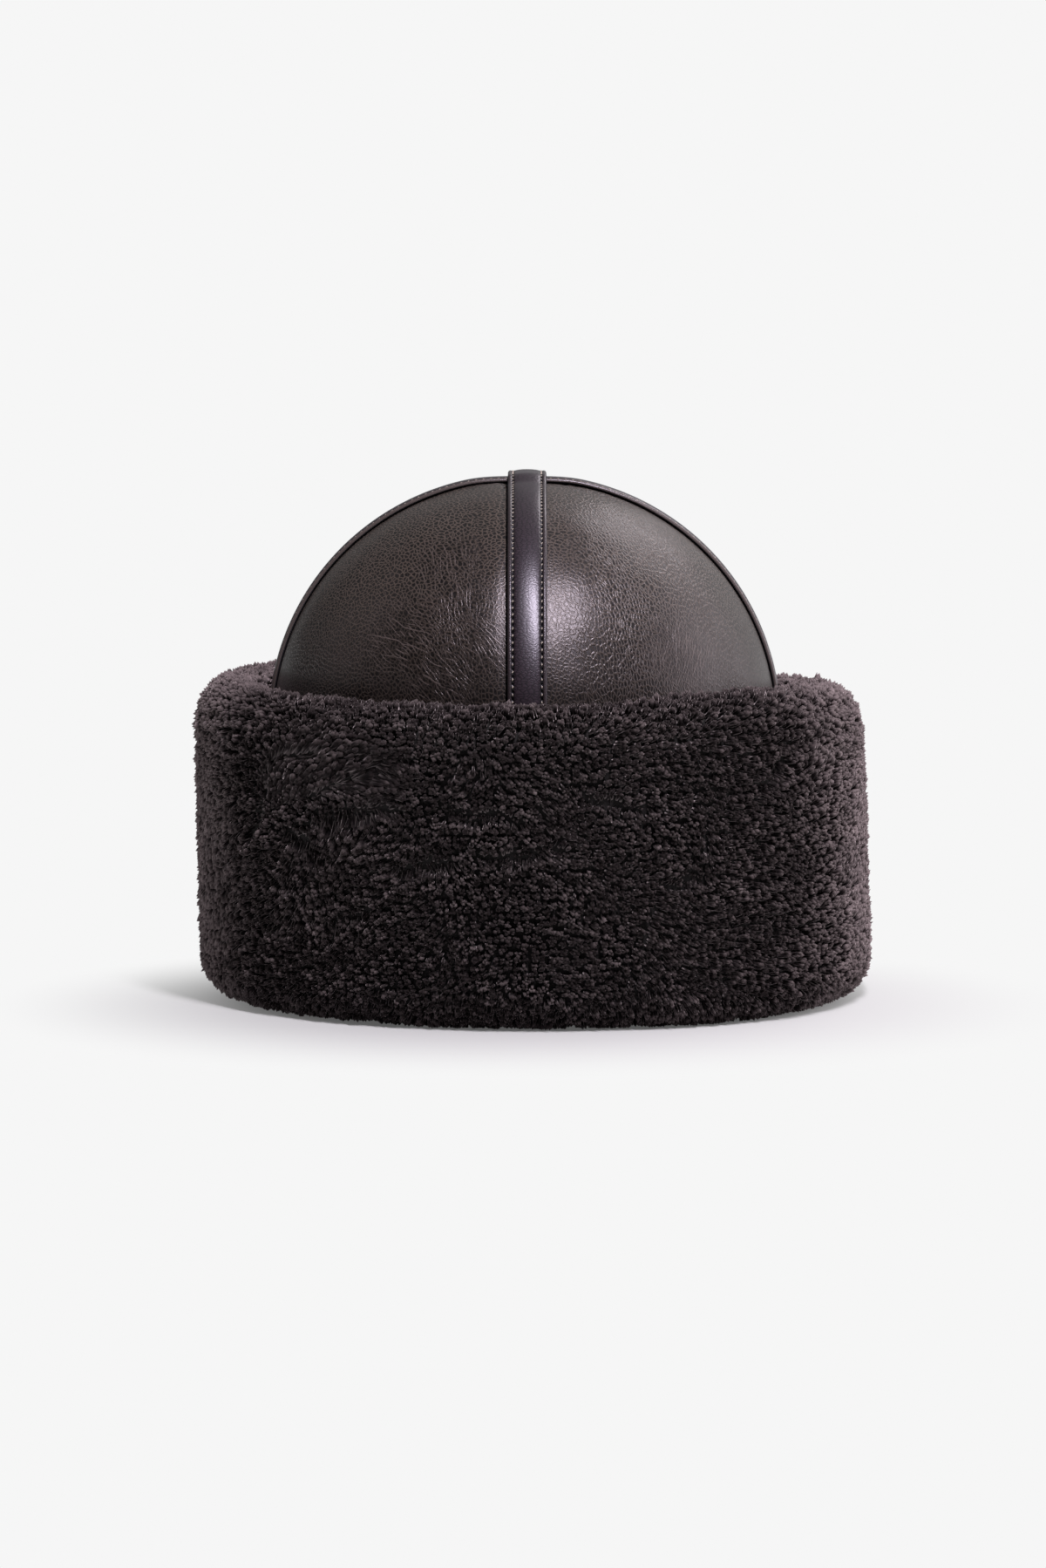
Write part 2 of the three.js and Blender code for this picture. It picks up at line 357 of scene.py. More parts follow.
class CrownSizes(bpy.types.PropertyGroup):
    """Sizes of the dome of hide panels, without its strips."""

    half_width: length(
        "Half width", "From the crown's middle to its side", FIRST_PANEL_HIGH.x - FIRST_PANEL_LOW.x)
    half_depth: length(
        "Half depth", "From the crown's middle to its front", FIRST_PANEL_HIGH.y - FIRST_PANEL_LOW.y)
    middle: length("Middle", "How far to the right the crown's middle stands", SEAM_PLACE)
    lower_edge: length("Lower edge", "Height of the panels' lower edge", FIRST_PANEL_LOW.z)
    dome_foot: length("Dome foot", "Height where the wall turns into the dome", 95.0 * MM)
    top: length("Top", "Height of the panels at the crown's middle", FIRST_PANEL_HIGH.z)
    fullness: FloatProperty(
        name="Fullness", description="2 is an ellipse in profile, and more has fuller shoulders",
        default=2.04)
    flat_top: length("Flat top", "How far the panels' tips are pressed down", 1.0 * MM)
    flat_top_reach: factor(
        "Flat top reach", "Share of the width over which the tips are pressed", 0.24)
    puff: length("Puff", "How far a panel swells between its seams", 0.8 * MM)
    hide: length("Hide and backing", "Thickness of the hide and the matted wool on it", 6.0 * MM)
    thickness: length("Thickness", "Thickness to the tips of the clipped wool inside", 9.0 * MM)
    gutter: length("Gutter", "How far the hide dips beside a strip", 1.6 * MM)
    shoulder: length("Shoulder", "How high the hide swells up left of the front strip", 0.26 * MM)
    side_shoulder: length("Side shoulder", "How high it swells up beside the side strip", 0.15 * MM)
    shoulder_reach: length(
        "Shoulder reach", "Over which width it swells up left of the front strip", 4.0 * MM)


class StripSizes(bpy.types.PropertyGroup):
    """Sizes of the strips over the seams and of their stitches."""

    clearance: length("Clearance", "Height of a strip's underside over the panels", 0.6 * MM)
    climb: length("Climb", "How far the front strip rises to pass over the other one", 2.1 * MM)
    climb_until: length(
        "Climb until", "Distance from the top up to which it is raised fully", 12.0 * MM)
    climb_end: length(
        "Climb end", "Distance from the top where it lies on the panels again", 22.0 * MM)
    off_centre: length("Off centre", "How far the front strip lies to the right of the seam", 0.9 * MM)
    stitch_pitch: length("Stitch pitch", "From one stitch to the next", 2.67 * MM)
    stitch_across: length("Stitch line", "From the strip's middle to its stitches", 5.15 * MM)
    stitch_length: length("Stitch length", "Thread that shows between two holes", 1.15 * MM)
    thread: length("Thread", "Diameter of the thread", 0.5 * MM)
    hole_depth: length("Hole depth", "How far the leather is pulled in at a stitch's end", 0.9 * MM)


class CuffSizes(bpy.types.PropertyGroup):
    """Sizes of the turned-up band."""

    middle: length("Middle", "How far to the right the cuff's middle stands", 1.3 * MM)
    half_width: length("Half width", "From the cuff's middle to its side", 122.3 * MM)
    half_depth: length("Half depth", "From the cuff's middle to its front", 131.0 * MM)
    clearance: length("Clearance", "From the panels to the cuff", 2.7 * MM)
    ledge: length("Ledge", "Height of the ledge under the crown", 14.0 * MM)
    head_round: length("Head round", "Radius of the fold towards the head", 6.0 * MM)
    fold_round: length("Fold round", "Radius of the fold outwards", 14.0 * MM)
    crest: length("Crest", "Height of the rounded top", 19.0 * MM)


class FleeceSizes(bpy.types.PropertyGroup):
    """Sizes of the curls of wool and how they stand.

    Real curls are finer. These are as coarse as they need to be to stand as shapes of their own."""

    pile: length("Pile", "From the matted wool to the curls' tips", 4.2 * MM)
    proud: length("Proud", "How far the curls stand out of the cuff's outline", 0.5 * MM)
    tuft_spacing: length("Tuft spacing", "From one tuft to the next", 2.83 * MM)
    curls: IntProperty(name="Curls", description="Curls in a tuft", default=3)
    root_spread: length("Root spread", "From a tuft's middle to its curls' roots", 0.9 * MM)
    tip_spread: length("Tip spread", "From a tuft's middle to its curls' tips", 0.62 * MM)
    curl_radius: length("Curl radius", "Of a curl near its tip", 0.66 * MM)
    # The curls are painted paler at the sides and on the back's crest by this much, as painted rim light.
    painted_rim_light: factor(
        "Worn tone", "How much paler the curls are at the sides and the back's crest", 0.46)
    seed: IntProperty(name="Seed", description="Starts the random draws", default=11)


class HatColours(bpy.types.PropertyGroup):
    """Colours of the hide, the strips, the thread and the wool, where each is palest."""

    hide: colour("Hide", "The panels, without their ridges", "#110e0d")
    # The ridges' and the creases' paler colours are painted highlights on them.
    ridges: colour("Ridges", "The fine net on the panels", "#564a44")
    creases: colour("Creases", "The long creases on the panels", "#6a5d5b")
    strip: colour("Strip", "The strips, away from their stitches", "#2a2027")
    thread: colour("Thread", "The stitches", "#bdb0a6")
    # The wool's tips are painted paler as painted light, and its roots darker as painted shade between the
    # curls.
    wool_tips: colour("Wool tips", "The curls at their tips", "#8c7e80")
    wool_roots_in_shade: colour("Wool roots", "The curls at their roots", "#3e3537")


class StudioSettings(bpy.types.PropertyGroup):
    """The camera, the lights and the pale surroundings."""

    camera_place: FloatVectorProperty(
        name="Camera", description="Where the camera stands", subtype="TRANSLATION",
        default=(-3.2 * MM, -2588.9 * MM, 315.2 * MM))
    camera_aim: FloatVectorProperty(
        name="Aim", description="The point in the middle of the picture", subtype="TRANSLATION",
        default=(-3.2 * MM, 0.0, 75.0 * MM))
    lens: FloatProperty(
        name="Lens", description="Focal length in millimetres", default=163.3)
    backdrop: colour("Backdrop", "The surroundings as the camera sees them", "#f6f6f6")
    key_power: power("Key light", "Power of the soft light from above", 36.0)
    side_power: power("Side light", "Power of the soft light from the right", 15.5)
    fill_power: power("Fill light", "Power of the soft light from the left", 1.6)
    rim_power: power("Rim light", "Power of the soft light from behind", 6.5)


def deselect_all():
    if bpy.context.mode != "OBJECT":
        bpy.ops.object.mode_set(mode="OBJECT")
    bpy.ops.object.select_all(action="DESELECT")


def make_active(piece):
    deselect_all()
    piece.select_set(True)
    bpy.context.view_layer.objects.active = piece


def sheet(name, points):
    """A grid whose corners go to the places in an array of rows and columns."""
    rows, columns = points.shape[0] - 1, points.shape[1] - 1
    deselect_all()
    bpy.ops.mesh.primitive_grid_add(x_subdivisions=columns, y_subdivisions=rows, size=1.0)
    piece = bpy.context.object
    piece.name = name
    piece.data.name = name
    places = np.empty(len(piece.data.vertices) * 3, np.float32)
    piece.data.vertices.foreach_get("co", places)
    shares = places.reshape(-1, 3)[:, :2] + 0.5
    column = np.rint(shares[:, 0] * columns).astype(int)
    row = np.rint(shares[:, 1] * rows).astype(int)
    piece.data.vertices.foreach_set("co", points[row, column].astype(np.float32).ravel())
    piece.data.update()
    return piece, row, column


def write_map(piece, name, across, along):
    """A UV map that holds two values of each corner point."""
    while piece.data.uv_layers:
        piece.data.uv_layers.remove(piece.data.uv_layers[0])
    layer = piece.data.uv_layers.new(name=name)
    corners = np.empty(len(piece.data.loops), np.int32)
    piece.data.loops.foreach_get("vertex_index", corners)
    layer.data.foreach_set("uv", np.stack([across[corners], along[corners]], 1).astype(np.float32).ravel())


def merge_doubles(piece, holes=False):
    """Merges the points that lie on each other, and closes the open ends where asked."""
    make_active(piece)
    bpy.ops.object.mode_set(mode="EDIT")
    bpy.ops.mesh.select_all(action="SELECT")
    bpy.ops.mesh.remove_doubles(threshold=0.001 * MM)
    if holes:
        bpy.ops.mesh.fill_holes(sides=0)
        bpy.ops.mesh.select_all(action="SELECT")
        bpy.ops.mesh.normals_make_consistent(inside=False)
    bpy.ops.object.mode_set(mode="OBJECT")


def face_away_from(piece, middle):
    """Turns a sheet over if its faces look towards the middle."""
    total = sum((face.center - middle).normalized().dot(face.normal) for face in piece.data.polygons)
    if total < 0:
        make_active(piece)
        bpy.ops.object.mode_set(mode="EDIT")
        bpy.ops.mesh.select_all(action="SELECT")
        bpy.ops.mesh.flip_normals()
        bpy.ops.object.mode_set(mode="OBJECT")


def smooth(piece, degrees=50.0):
    make_active(piece)
    bpy.ops.object.shade_smooth_by_angle(angle=degrees * DEGREE)


def dress(piece, slot, nodes, *materials):
    """Gives a piece its materials and its place in the frame."""
    piece.data.materials.clear()
    for material in materials:
        piece.data.materials.append(material)
    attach(piece, BODY)
    if nodes:
        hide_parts(*nodes)


def add_node(tree, kind, inputs=None, **settings):
    """Adds a shader node with its settings, and sets its inputs or links them.

    Inputs are a list in the sockets' order, or go by the sockets' names or numbers. An input that
    is a node is linked from the first of that node's outputs in use."""
    made = tree.nodes.new(f"ShaderNode{kind}")
    for name, value in settings.items():
        setattr(made, name, value)
    if isinstance(inputs, list):
        inputs = dict(enumerate(inputs))
    for name, value in (inputs or {}).items():
        if isinstance(value, bpy.types.Node):
            value = next(output for output in value.outputs if output.enabled)
        if isinstance(value, bpy.types.NodeSocket):
            tree.links.new(value, made.inputs[name])
        else:
            made.inputs[name].default_value = value
    return made


def new_material(name):
    """A material without nodes, and the function that adds a node to it."""
    material = bpy.data.materials.new(name)
    material.use_nodes = True
    material.node_tree.nodes.clear()
    return material, partial(add_node, material.node_tree)


def per_mm(size):
    """The scale of a pattern whose unit has this size in millimetres."""
    return 1.0 / (size * MM)


def warped_place(node, place, wavelength, reach):
    """The place, moved about by a smooth noise, so that a pattern on it isn't even."""
    drift = node("TexNoise", {"Vector": place, "Scale": per_mm(wavelength), "Detail": 2.0})
    centred = node("VectorMath", [drift.outputs["Color"], (0.5, 0.5, 0.5)], operation="SUBTRACT")
    return node("VectorMath", [centred, (reach * MM,) * 3, place], operation="MULTIPLY_ADD")


def off_ridge(node, place, turn, stretch, size):
    """How far a place is from the ridges between dimples of this size in millimetres, in dimples.

    The dimples are turned and then stretched along their two axes."""
    drawn = node("Mapping", {
        "Vector": place, "Rotation": (0.0, 0.0, turn), "Scale": (*stretch, 1.0)}, vector_type="TEXTURE")
    return node("TexVoronoi", {"Vector": drawn, "Scale": per_mm(size)},
                voronoi_dimensions="2D", feature="DISTANCE_TO_EDGE")


def strands(node, place, turn, spacing, width):
    """Long thin ridges that wander and break off, 1 on a ridge, with sizes in millimetres.

    Without a turn they run along the map's second axis."""
    long = 3.2
    wander = 1.7
    drawn = node("Mapping", {
        "Vector": place, "Rotation": (0.0, 0.0, turn), "Scale": (1.0, long, 1.0)}, vector_type="TEXTURE")
    axes = node("SeparateXYZ", {"Vector": drawn})
    drift = node("TexNoise", {"Vector": drawn, "Scale": per_mm(3.6 * spacing), "Detail": 1.0})
    across = node("Math", [axes.outputs["X"], spacing * MM], operation="DIVIDE")
    phase = node("Math", [drift, wander, across], operation="MULTIPLY_ADD")
    off_line = node("Math", [phase, 0.5], operation="PINGPONG")
    line = node("MapRange", [off_line, 0.0, width / spacing, 1.0, 0.0], **SMOOTH)
    gaps = node("TexNoise", {"Vector": drawn, "Scale": per_mm(1.5 * spacing), "Detail": 1.0})
    shown = node("MapRange", [gaps, 0.42, 0.6], **SMOOTH)
    return node("Math", [line, shown], operation="MULTIPLY")


def creases(node, place, turn):
    """A net of fine creases, long in one direction, 1 on a crease."""
    steep = strands(node, place, turn - 0.16, 1.4, 0.3)
    shallow = strands(node, place, turn + 0.2, 1.8, 0.32)
    return node("Math", [steep, shallow], operation="MAXIMUM")


def slack_and_creases(node, place, drawn):
    """How loose the hide is, up to 1, and the creases where it is loose, 1 on a crease.

    It is loose at the loose spots, and a little in patches that lie at random."""
    patches = node("TexNoise", {"Vector": place, "Scale": per_mm(SLACK_PATCH), "Detail": 2.0})
    crease, slackest = 0.0, 0.0
    for way, turn in (("slanting", 0.66), ("upright", 0.15)):
        slack = node("MapRange", [patches, 0.46, 0.68, 0.0, 0.3], **SMOOTH)
        for spot in LOOSE_SPOTS:
            if spot.way == way:
                middle = [axis * MM for axis in spot.place]
                off_spot = node("VectorMath", [place, middle], operation="DISTANCE")
                reach = spot.reach * MM
                near_spot = node("MapRange", [off_spot, 0.2 * reach, reach, 1.0, 0.0], **SMOOTH)
                slack = node("Math", [slack, near_spot], operation="MAXIMUM")
        slackest = node("Math", [slackest, slack], operation="MAXIMUM")
        lines = node("Math", [creases(node, drawn, turn), slack], operation="MULTIPLY")
        crease = node("Math", [crease, lines], operation="MAXIMUM")
    return slackest, crease


def sheepskin_nappa(colours, strip):
    """Nappa-finished sheepskin, the outer side of the panels.

    The finish is a thin satin coat, so the eye sees broad soft highlights, and in them a net of
    fine ridges about dimples of 1 to 2 mm, which runs into long creases where the skin was
    loose. The ridges and the creases are painted paler, as painted highlights. Beside the front
    strip the skin is pulled, so its ridges are lower, and towards the cuff their painted
    highlights fade, as painted shade. In the gutter beside each strip the hide is painted near
    black, as a painted shadow."""
    material, node = new_material("sheepskin_nappa")
    place = node("TexCoord").outputs["Object"]
    axes = node("SeparateXYZ", {"Vector": place})
    drawn = warped_place(node, node("UVMap", uv_map=HIDE_MAP), 14.0, 3.6)
    warped = warped_place(node, drawn, 1.9, 1.1)

    loose = off_ridge(node, warped, 0.5, (0.9, 1.35), DIMPLE)
    pulled = off_ridge(node, warped, -0.15, (1.2, 0.95), DIMPLE)
    from_seam = node("Math", [axes.outputs["X"], SEAM_PLACE], operation="SUBTRACT")
    off_seam = node("Math", [from_seam], operation="ABSOLUTE")
    beside_seam = node("MapRange", [off_seam, *PULLED, 1.0, 0.0], **SMOOTH)
    both = node("Mix", {0: beside_seam, 2: loose, 3: pulled})
    ridges = node("MapRange", [both, 0.0, 0.25, 1.0, 0.0], **SMOOTH)
    slack, crease = slack_and_creases(node, place, drawn)
    kept = node("Math", [slack, -0.5, 1.0], operation="MULTIPLY_ADD")
    net = node("Math", [ridges, kept], operation="MULTIPLY")
    pores = node("TexNoise", {"Vector": place, "Scale": per_mm(PORE), "Detail": 2.0})

    pulled_height, loose_height, pore_height, crease_height = 0.035, 0.08, 0.03, 0.065
    relief = node("MapRange", [off_seam, *PULLED, pulled_height, loose_height], **SMOOTH)
    pitted = node("Math", [pores, pore_height], operation="MULTIPLY")
    netted_height = node("Math", [net, relief, pitted], operation="MULTIPLY_ADD")
    height = node("Math", [crease, crease_height, netted_height], operation="MULTIPLY_ADD")
    bump = node("Bump", {"Strength": 1.0, "Distance": MM, "Height": height})

    clouds = node("TexNoise", {"Vector": place, "Scale": per_mm(CLOUD), "Detail": 3.0})
    cloudy = node("MapRange", [clouds, 0.3, 0.7], **SMOOTH)
    base = node("Mix", {0: cloudy, 6: linear("#0c0a09"), 7: opaque(colours.hide)}, **COLOURS)
    # Painted shade: the ridges' painted highlights fade from the crown's top towards the cuff.
    painted_light_by_height = node("MapRange", [axes.outputs["Z"], 105 * MM, 170 * MM, 0.35, 0.75], **SMOOTH)
    on_net = node("Math", [net, painted_light_by_height], operation="MULTIPLY")
    # Painted highlights: the ridges and then the creases are painted paler than the hide.
    netted = node("Mix", {0: on_net, 6: base, 7: opaque(colours.ridges)}, **COLOURS)
    on_crease = node("Math", [crease, 0.55], operation="MULTIPLY")
    hide = node("Mix", {0: on_crease, 6: netted, 7: opaque(colours.creases)}, **COLOURS)

    strip_middle = SEAM_PLACE + strip.off_centre - 0.3 * MM
    from_front_strip = node("Math", [axes.outputs["X"], strip_middle], operation="SUBTRACT")
    off_front_strip = node("Math", [from_front_strip], operation="ABSOLUTE")
    off_side_strip = node("Math", [axes.outputs["Y"]], operation="ABSOLUTE")
    off_strip = node("Math", [off_front_strip, off_side_strip], operation="MINIMUM")
    # A painted shadow: in the gutter beside each strip the hide is painted near black.
    gutter_painted_shadow = node("MapRange", [off_strip, 7.1 * MM, 7.45 * MM, 1.0, 0.0], **SMOOTH)
    gloss = node("MapRange", [pores, 0.3, 0.7, 0.3, 0.38], **SMOOTH)
    shader = node("BsdfPrincipled", {
        "Base Color": node("Mix", {0: gutter_painted_shadow, 6: hide, 7: linear("#020202")}, **COLOURS),
        "Roughness": node("Math", [gloss, gutter_painted_shadow], operation="MAXIMUM"),
        "IOR": 1.44, "Specular Tint": linear("#fbeef7"), "Normal": bump})
    node("OutputMaterial", {"Surface": shader})
    return material


def glazed_lambskin(colours, strip, edge, edge_shade_from):
    """Glazed lambskin, folded for the strips, with its rounded edge in a colour given for each strip.

    Pressing and glazing flattened its grain, so the eye sees a fine grain that runs across the
    strip and a clear highlight along the rounded edges. The grain is drawn two to three times as
    coarse as the real one, so that it shows. On the side strip the rounded edge is painted
    paler, as a painted sheen. The stitch grooves are painted darker and the stitch holes near
    black, as painted shade. Outwards from the last distance given, measured over the strip's
    section, the strip is painted near black and rough, as painted shade along its lower edge."""
    material, node = new_material("glazed_lambskin")
    route = node("UVMap", uv_map=ROUTE_MAP)
    place = node("TexCoord").outputs["Object"]
    grain = off_ridge(node, warped_place(node, route, 4.0, 2.2), 0.0, (1.6, 0.9), 1.1)
    pores = node("TexNoise", {"Vector": place, "Scale": per_mm(PORE), "Detail": 2.0})
    domed = node("MapRange", [grain, -0.1, 0.42], **SMOOTH)
    pitted = node("Math", [pores, 0.01], operation="MULTIPLY")
    height = node("Math", [domed, 0.02, pitted], operation="MULTIPLY_ADD")
    bump = node("Bump", {"Strength": 1.0, "Distance": MM, "Height": height})

    axes = node("SeparateXYZ", {"Vector": route})
    across = node("Math", [axes.outputs["X"]], operation="ABSOLUTE")
    from_line = node("Math", [across, strip.stitch_across], operation="SUBTRACT")
    off_line = node("Math", [from_line], operation="ABSOLUTE")
    # Painted shade: the stitch grooves are painted darker and the stitch holes near black.
    groove = node("MapRange", [off_line, 0.3 * MM, 0.9 * MM, 1.0, 0.0], **SMOOTH)
    phase = node("Math", [axes.outputs["Y"], strip.stitch_pitch], operation="DIVIDE")
    off_hole = node("Math", [phase, 0.5], operation="PINGPONG")
    hole_along = node("MapRange", [off_hole, 0.16, 0.32, 1.0, 0.0], **SMOOTH)
    hole_across = node("MapRange", [off_line, 0.2 * MM, 0.6 * MM, 1.0, 0.0], **SMOOTH)
    hole_painted_shade = node("Math", [hole_along, hole_across], operation="MULTIPLY")

    smooth_grain = node("MapRange", [grain, 0.03, 0.2], **SMOOTH)
    base = node("Mix", {0: smooth_grain, 6: linear("#120d11"), 7: opaque(colours.strip)}, **COLOURS)
    groove_painted_shade = node("Mix", {0: groove, 6: base, 7: linear("#090707")}, **COLOURS)
    # On the side strip the paler colour of the rounded edge is a painted sheen.
    on_edge = node("MapRange", [across, 5.6 * MM, 6.1 * MM], **SMOOTH)
    rolled = node("Mix", {0: on_edge, 6: groove_painted_shade, 7: linear(edge)}, **COLOURS)
    # Painted shade: outwards from the given distance the strip's edge is painted near black.
    edge_painted_shade = node("MapRange", [across, edge_shade_from, edge_shade_from + 0.2 * MM], **SMOOTH)
    painted_black_shade = node("Math", [hole_painted_shade, edge_painted_shade], operation="MAXIMUM")
    shader = node("BsdfPrincipled", {
        "Base Color": node("Mix", {0: painted_black_shade, 6: rolled, 7: linear("#020202")}, **COLOURS),
        "Roughness": node("MapRange", [edge_painted_shade, 0.0, 1.0, 0.33, 0.9], **SMOOTH),
        "IOR": 1.53, "Specular Tint": linear("#f6eeff"), "Normal": bump})
    node("OutputMaterial", {"Surface": shader})
    return material


def waxed_thread(colours):
    """Waxed polyester thread, which the eye sees as small pale dots with a slight sheen.

    Its twist is drawn about twice as coarse as the real one, so that it shows."""
    material, node = new_material("waxed_thread")
    place = node("TexCoord").outputs["Object"]
    twist = node("TexNoise", {"Vector": place, "Scale": per_mm(0.5), "Detail": 1.0})
    twisted = node("Mix", {0: twist, 6: linear("#8a7c74"), 7: opaque(colours.thread)}, **COLOURS)
    shader = node("BsdfPrincipled", {"Base Color": twisted, "Roughness": 0.6})
    node("OutputMaterial", {"Surface": shader})
    return material


def sheared_wool(colours):
    """Sheared sheep's wool, dyed dark brown.

    Its curls are painted dark towards their roots, as painted shade between them, and paler at
    their clipped tips, as painted light where the tips catch it. Their fibres catch a little light
    where the eye meets them at a slant."""
    material, node = new_material("sheared_wool")
    axes = node("SeparateXYZ", {"Vector": node("UVMap", uv_map=CURL_MAP)})
    tone, height = axes.outputs["X"], axes.outputs["Y"]
    # From root to tip the colour runs from painted shade to painted light.
    tip = node("Mix", {0: tone, 6: linear("#171213"), 7: opaque(colours.wool_tips)}, **COLOURS)
    root = node("Mix", {0: tone, 6: linear("#020102"), 7: opaque(colours.wool_roots_in_shade)}, **COLOURS)
    share = node("MapRange", [height, 0.6, 0.95], **SMOOTH)
    shader = node("BsdfPrincipled", {
        "Base Color": node("Mix", {0: share, 6: root, 7: tip}, **COLOURS),
        "Roughness": 0.85, "Specular IOR Level": 0.05,
        "Sheen Weight": 0.48, "Sheen Roughness": 0.38, "Sheen Tint": linear("#dccbce")})
    node("OutputMaterial", {"Surface": shader})
    return material


def matted_wool():
    """Matted wool at the roots of the pile, which the eye sees as the dark between the curls."""
    material, node = new_material("matted_wool")
    place = node("TexCoord").outputs["Object"]
    lumps = node("TexNoise", {"Vector": place, "Scale": per_mm(1.6), "Detail": 3.0})
    shader = node("BsdfPrincipled", {
        "Base Color": node("Mix", {0: lumps, 6: linear("#0c0909"), 7: linear("#1e181a")}, **COLOURS),
        "Roughness": 0.95,
        "Normal": node("Bump", {"Strength": 1.0, "Distance": 0.8 * MM, "Height": lumps})})
    node("OutputMaterial", {"Surface": shader})
    return material


def seamless_paper(backdrop):
    """White paper for the floor, which far from the hat is as bright as the surroundings."""
    material, node = new_material("seamless_paper")
    place = node("TexCoord").outputs["Object"]
    distance = node("VectorMath", [place, FLOOR_SHADE], operation="DISTANCE")
    share = node("MapRange", [distance, *FLOOR_FADES, 0.1, 1.0], **SMOOTH)
    paper = node("BsdfPrincipled", {
        "Base Color": linear("#bdbcbd"), "Roughness": 1.0, "Specular IOR Level": 0.0})
    glow = node("Emission", {"Color": opaque(backdrop), "Strength": 1.0})
    node("OutputMaterial", {"Surface": node("MixShader", [share, paper, glow])})
    return material


def crown_profile(crown, wall_rows, dome_rows):
    """The crown's outline from its lower edge to its top, as reach and height.

    Reach is the share of the crown's half width or half depth."""
    roundness = 2.0 / crown.fullness
    dome_height = crown.top + crown.flat_top - crown.dome_foot
    wall = np.linspace(crown.lower_edge, crown.dome_foot, wall_rows, endpoint=False)
    rise = np.linspace(0.0, QUARTER_TURN, dome_rows + 1)
    reach = np.maximum(np.cos(rise), 0.0) ** roundness
    reach[-1] = 0.0
    pressed = crown.flat_top * (1.0 - ease(reach, 0.0, crown.flat_top_reach))
    dome = crown.dome_foot + dome_height * np.sin(rise) ** roundness - pressed
    return np.concatenate([np.ones(wall_rows), reach]), np.concatenate([wall, dome])


def crown_normal(crown, points):
    """Away from the crown, at points that are given from the crown's middle."""
    dome_height = crown.top + crown.flat_top - crown.dome_foot
    return unit(np.stack([
        points[..., 0] / crown.half_width ** 2,
        points[..., 1] / crown.half_depth ** 2,
        np.maximum(0.0, points[..., 2] - crown.dome_foot) / dome_height ** 2,
    ], -1))


def seam_relief(distance, depth, swell, reach):
    """How the hide lies near a seam: up under the strip, in a gutter beside it, then swollen.

    Depth is the gutter's, swell how high it rises beside it, and reach over which width."""
    under = TUCK_HEIGHT * (1.0 - ease(distance, *TUCKED))
    gutter = depth * ease(distance, *DIPS) * (1.0 - ease(distance, *RISES))
    swollen = ease(distance, SWELLS_FROM, SWELLS_FROM + reach)
    swollen = swollen * (1.0 - SETTLES_BY * ease(distance, *SETTLES))
    return under - gutter + swell * swollen


def panel_points(crown, off_centre, from_angle):
    """Places of a panel's corner points, in rows up the crown and columns round it.

    Near the top, where a row is short, the columns by its seams draw together."""
    share_out, height = crown_profile(crown, wall_rows=8, dome_rows=50)
    near_seam = np.array(COLUMNS_BY_SEAM) * MM
    starts_at_side = abs(math.sin(from_angle)) < 0.5
    first, second = crown.half_depth, crown.half_width
    if not starts_at_side:
        first, second = second, first
    rows = []
    for share in np.maximum(share_out, 1e-4):
        squeezed = min(1.0, 0.6 * share * min(first, second) / near_seam[-1])
        start = np.arcsin(near_seam * squeezed / (first * share))
        end = QUARTER_TURN - np.arcsin(near_seam * squeezed / (second * share))
        middle = np.linspace(start[-1], end[-1], COLUMNS_BETWEEN)[1:-1]
        rows.append(np.concatenate([start, middle, end[::-1]]))
    angle = from_angle + np.array(rows)
    points = np.stack([
        crown.half_width * share_out[:, None] * np.cos(angle),
        crown.half_depth * share_out[:, None] * np.sin(angle),
        np.broadcast_to(height[:, None], angle.shape),
    ], -1)
    beside = points[..., 0] - off_centre
    sideways, forwards = np.abs(beside), np.abs(points[..., 1])
    depth = np.where(beside > 0.0, 0.0, crown.gutter)
    swell = np.where(beside > 0.0, 0.0, crown.shoulder)
    swelling = ease(sideways, *PUFF_WIDTH) * ease(forwards, *PUFF_WIDTH)
    swelling = swelling * ease(points[..., 2], crown.dome_foot, crown.dome_foot + PUFF_HEIGHT)
    random = np.random.default_rng(RIPPLE_SEED)
    ripple = RIPPLE * waves(points, RIPPLE_LENGTH, random) * ease(sideways, *RIPPLE_WIDTH)
    lift = crown.puff * swelling + ripple * ease(forwards, *RIPPLE_WIDTH)
    lift = lift + seam_relief(sideways, depth, swell, crown.shoulder_reach)
    lift = lift + seam_relief(forwards, crown.gutter, crown.side_shoulder, SIDE_SHOULDER_REACH)
    points = points + crown_normal(crown, points) * lift[..., None]
    middle = from_angle + QUARTER_TURN / 2
    points[..., 0] += crown.middle + SEAM_GAP / 2 * np.sign(math.cos(middle))
    points[..., 1] += SEAM_GAP / 2 * np.sign(math.sin(middle))
    return points


def laid_flat(crown, points):
    """Two coordinates on the hide for an even pattern, as if it were laid flat from the top."""
    dome_height = crown.top + crown.flat_top - crown.dome_foot
    across = (points[..., 0] - crown.middle) / crown.half_width
    along = points[..., 1] / crown.half_depth
    out = np.maximum(np.hypot(across, along), 1e-6)
    rise = points[..., 2] - crown.dome_foot
    lean = np.arctan2(out, np.maximum(rise, 0.0) / dome_height)
    reach = crown.half_width * lean + np.maximum(-rise, 0.0)
    return reach * across / out, reach * along / out


def make_panel(crown, off_centre, panel, hide, wool):
    """A panel of hide with its skin outside and matted wool on its inner side and edges."""
    points = panel_points(crown, off_centre, panel.from_angle)
    piece, row, column = sheet(f"hide_{panel.node}", points)
    across, along = laid_flat(crown, points)
    write_map(piece, HIDE_MAP, across[row, column], along[row, column])
    merge_doubles(piece)
    face_away_from(piece, Vector((crown.middle, 0.0, crown.dome_foot)))
    dress(piece, HIDE_SLOT, [panel.node], hide, wool)
    wall = piece.modifiers.new("Thickness", "SOLIDIFY")
    wall.thickness = crown.hide
    wall.offset = -1.0
    wall.material_offset = 1
    wall.material_offset_rim = 1
    make_active(piece)
    bpy.ops.object.modifier_apply(modifier=wall.name)
    smooth(piece)


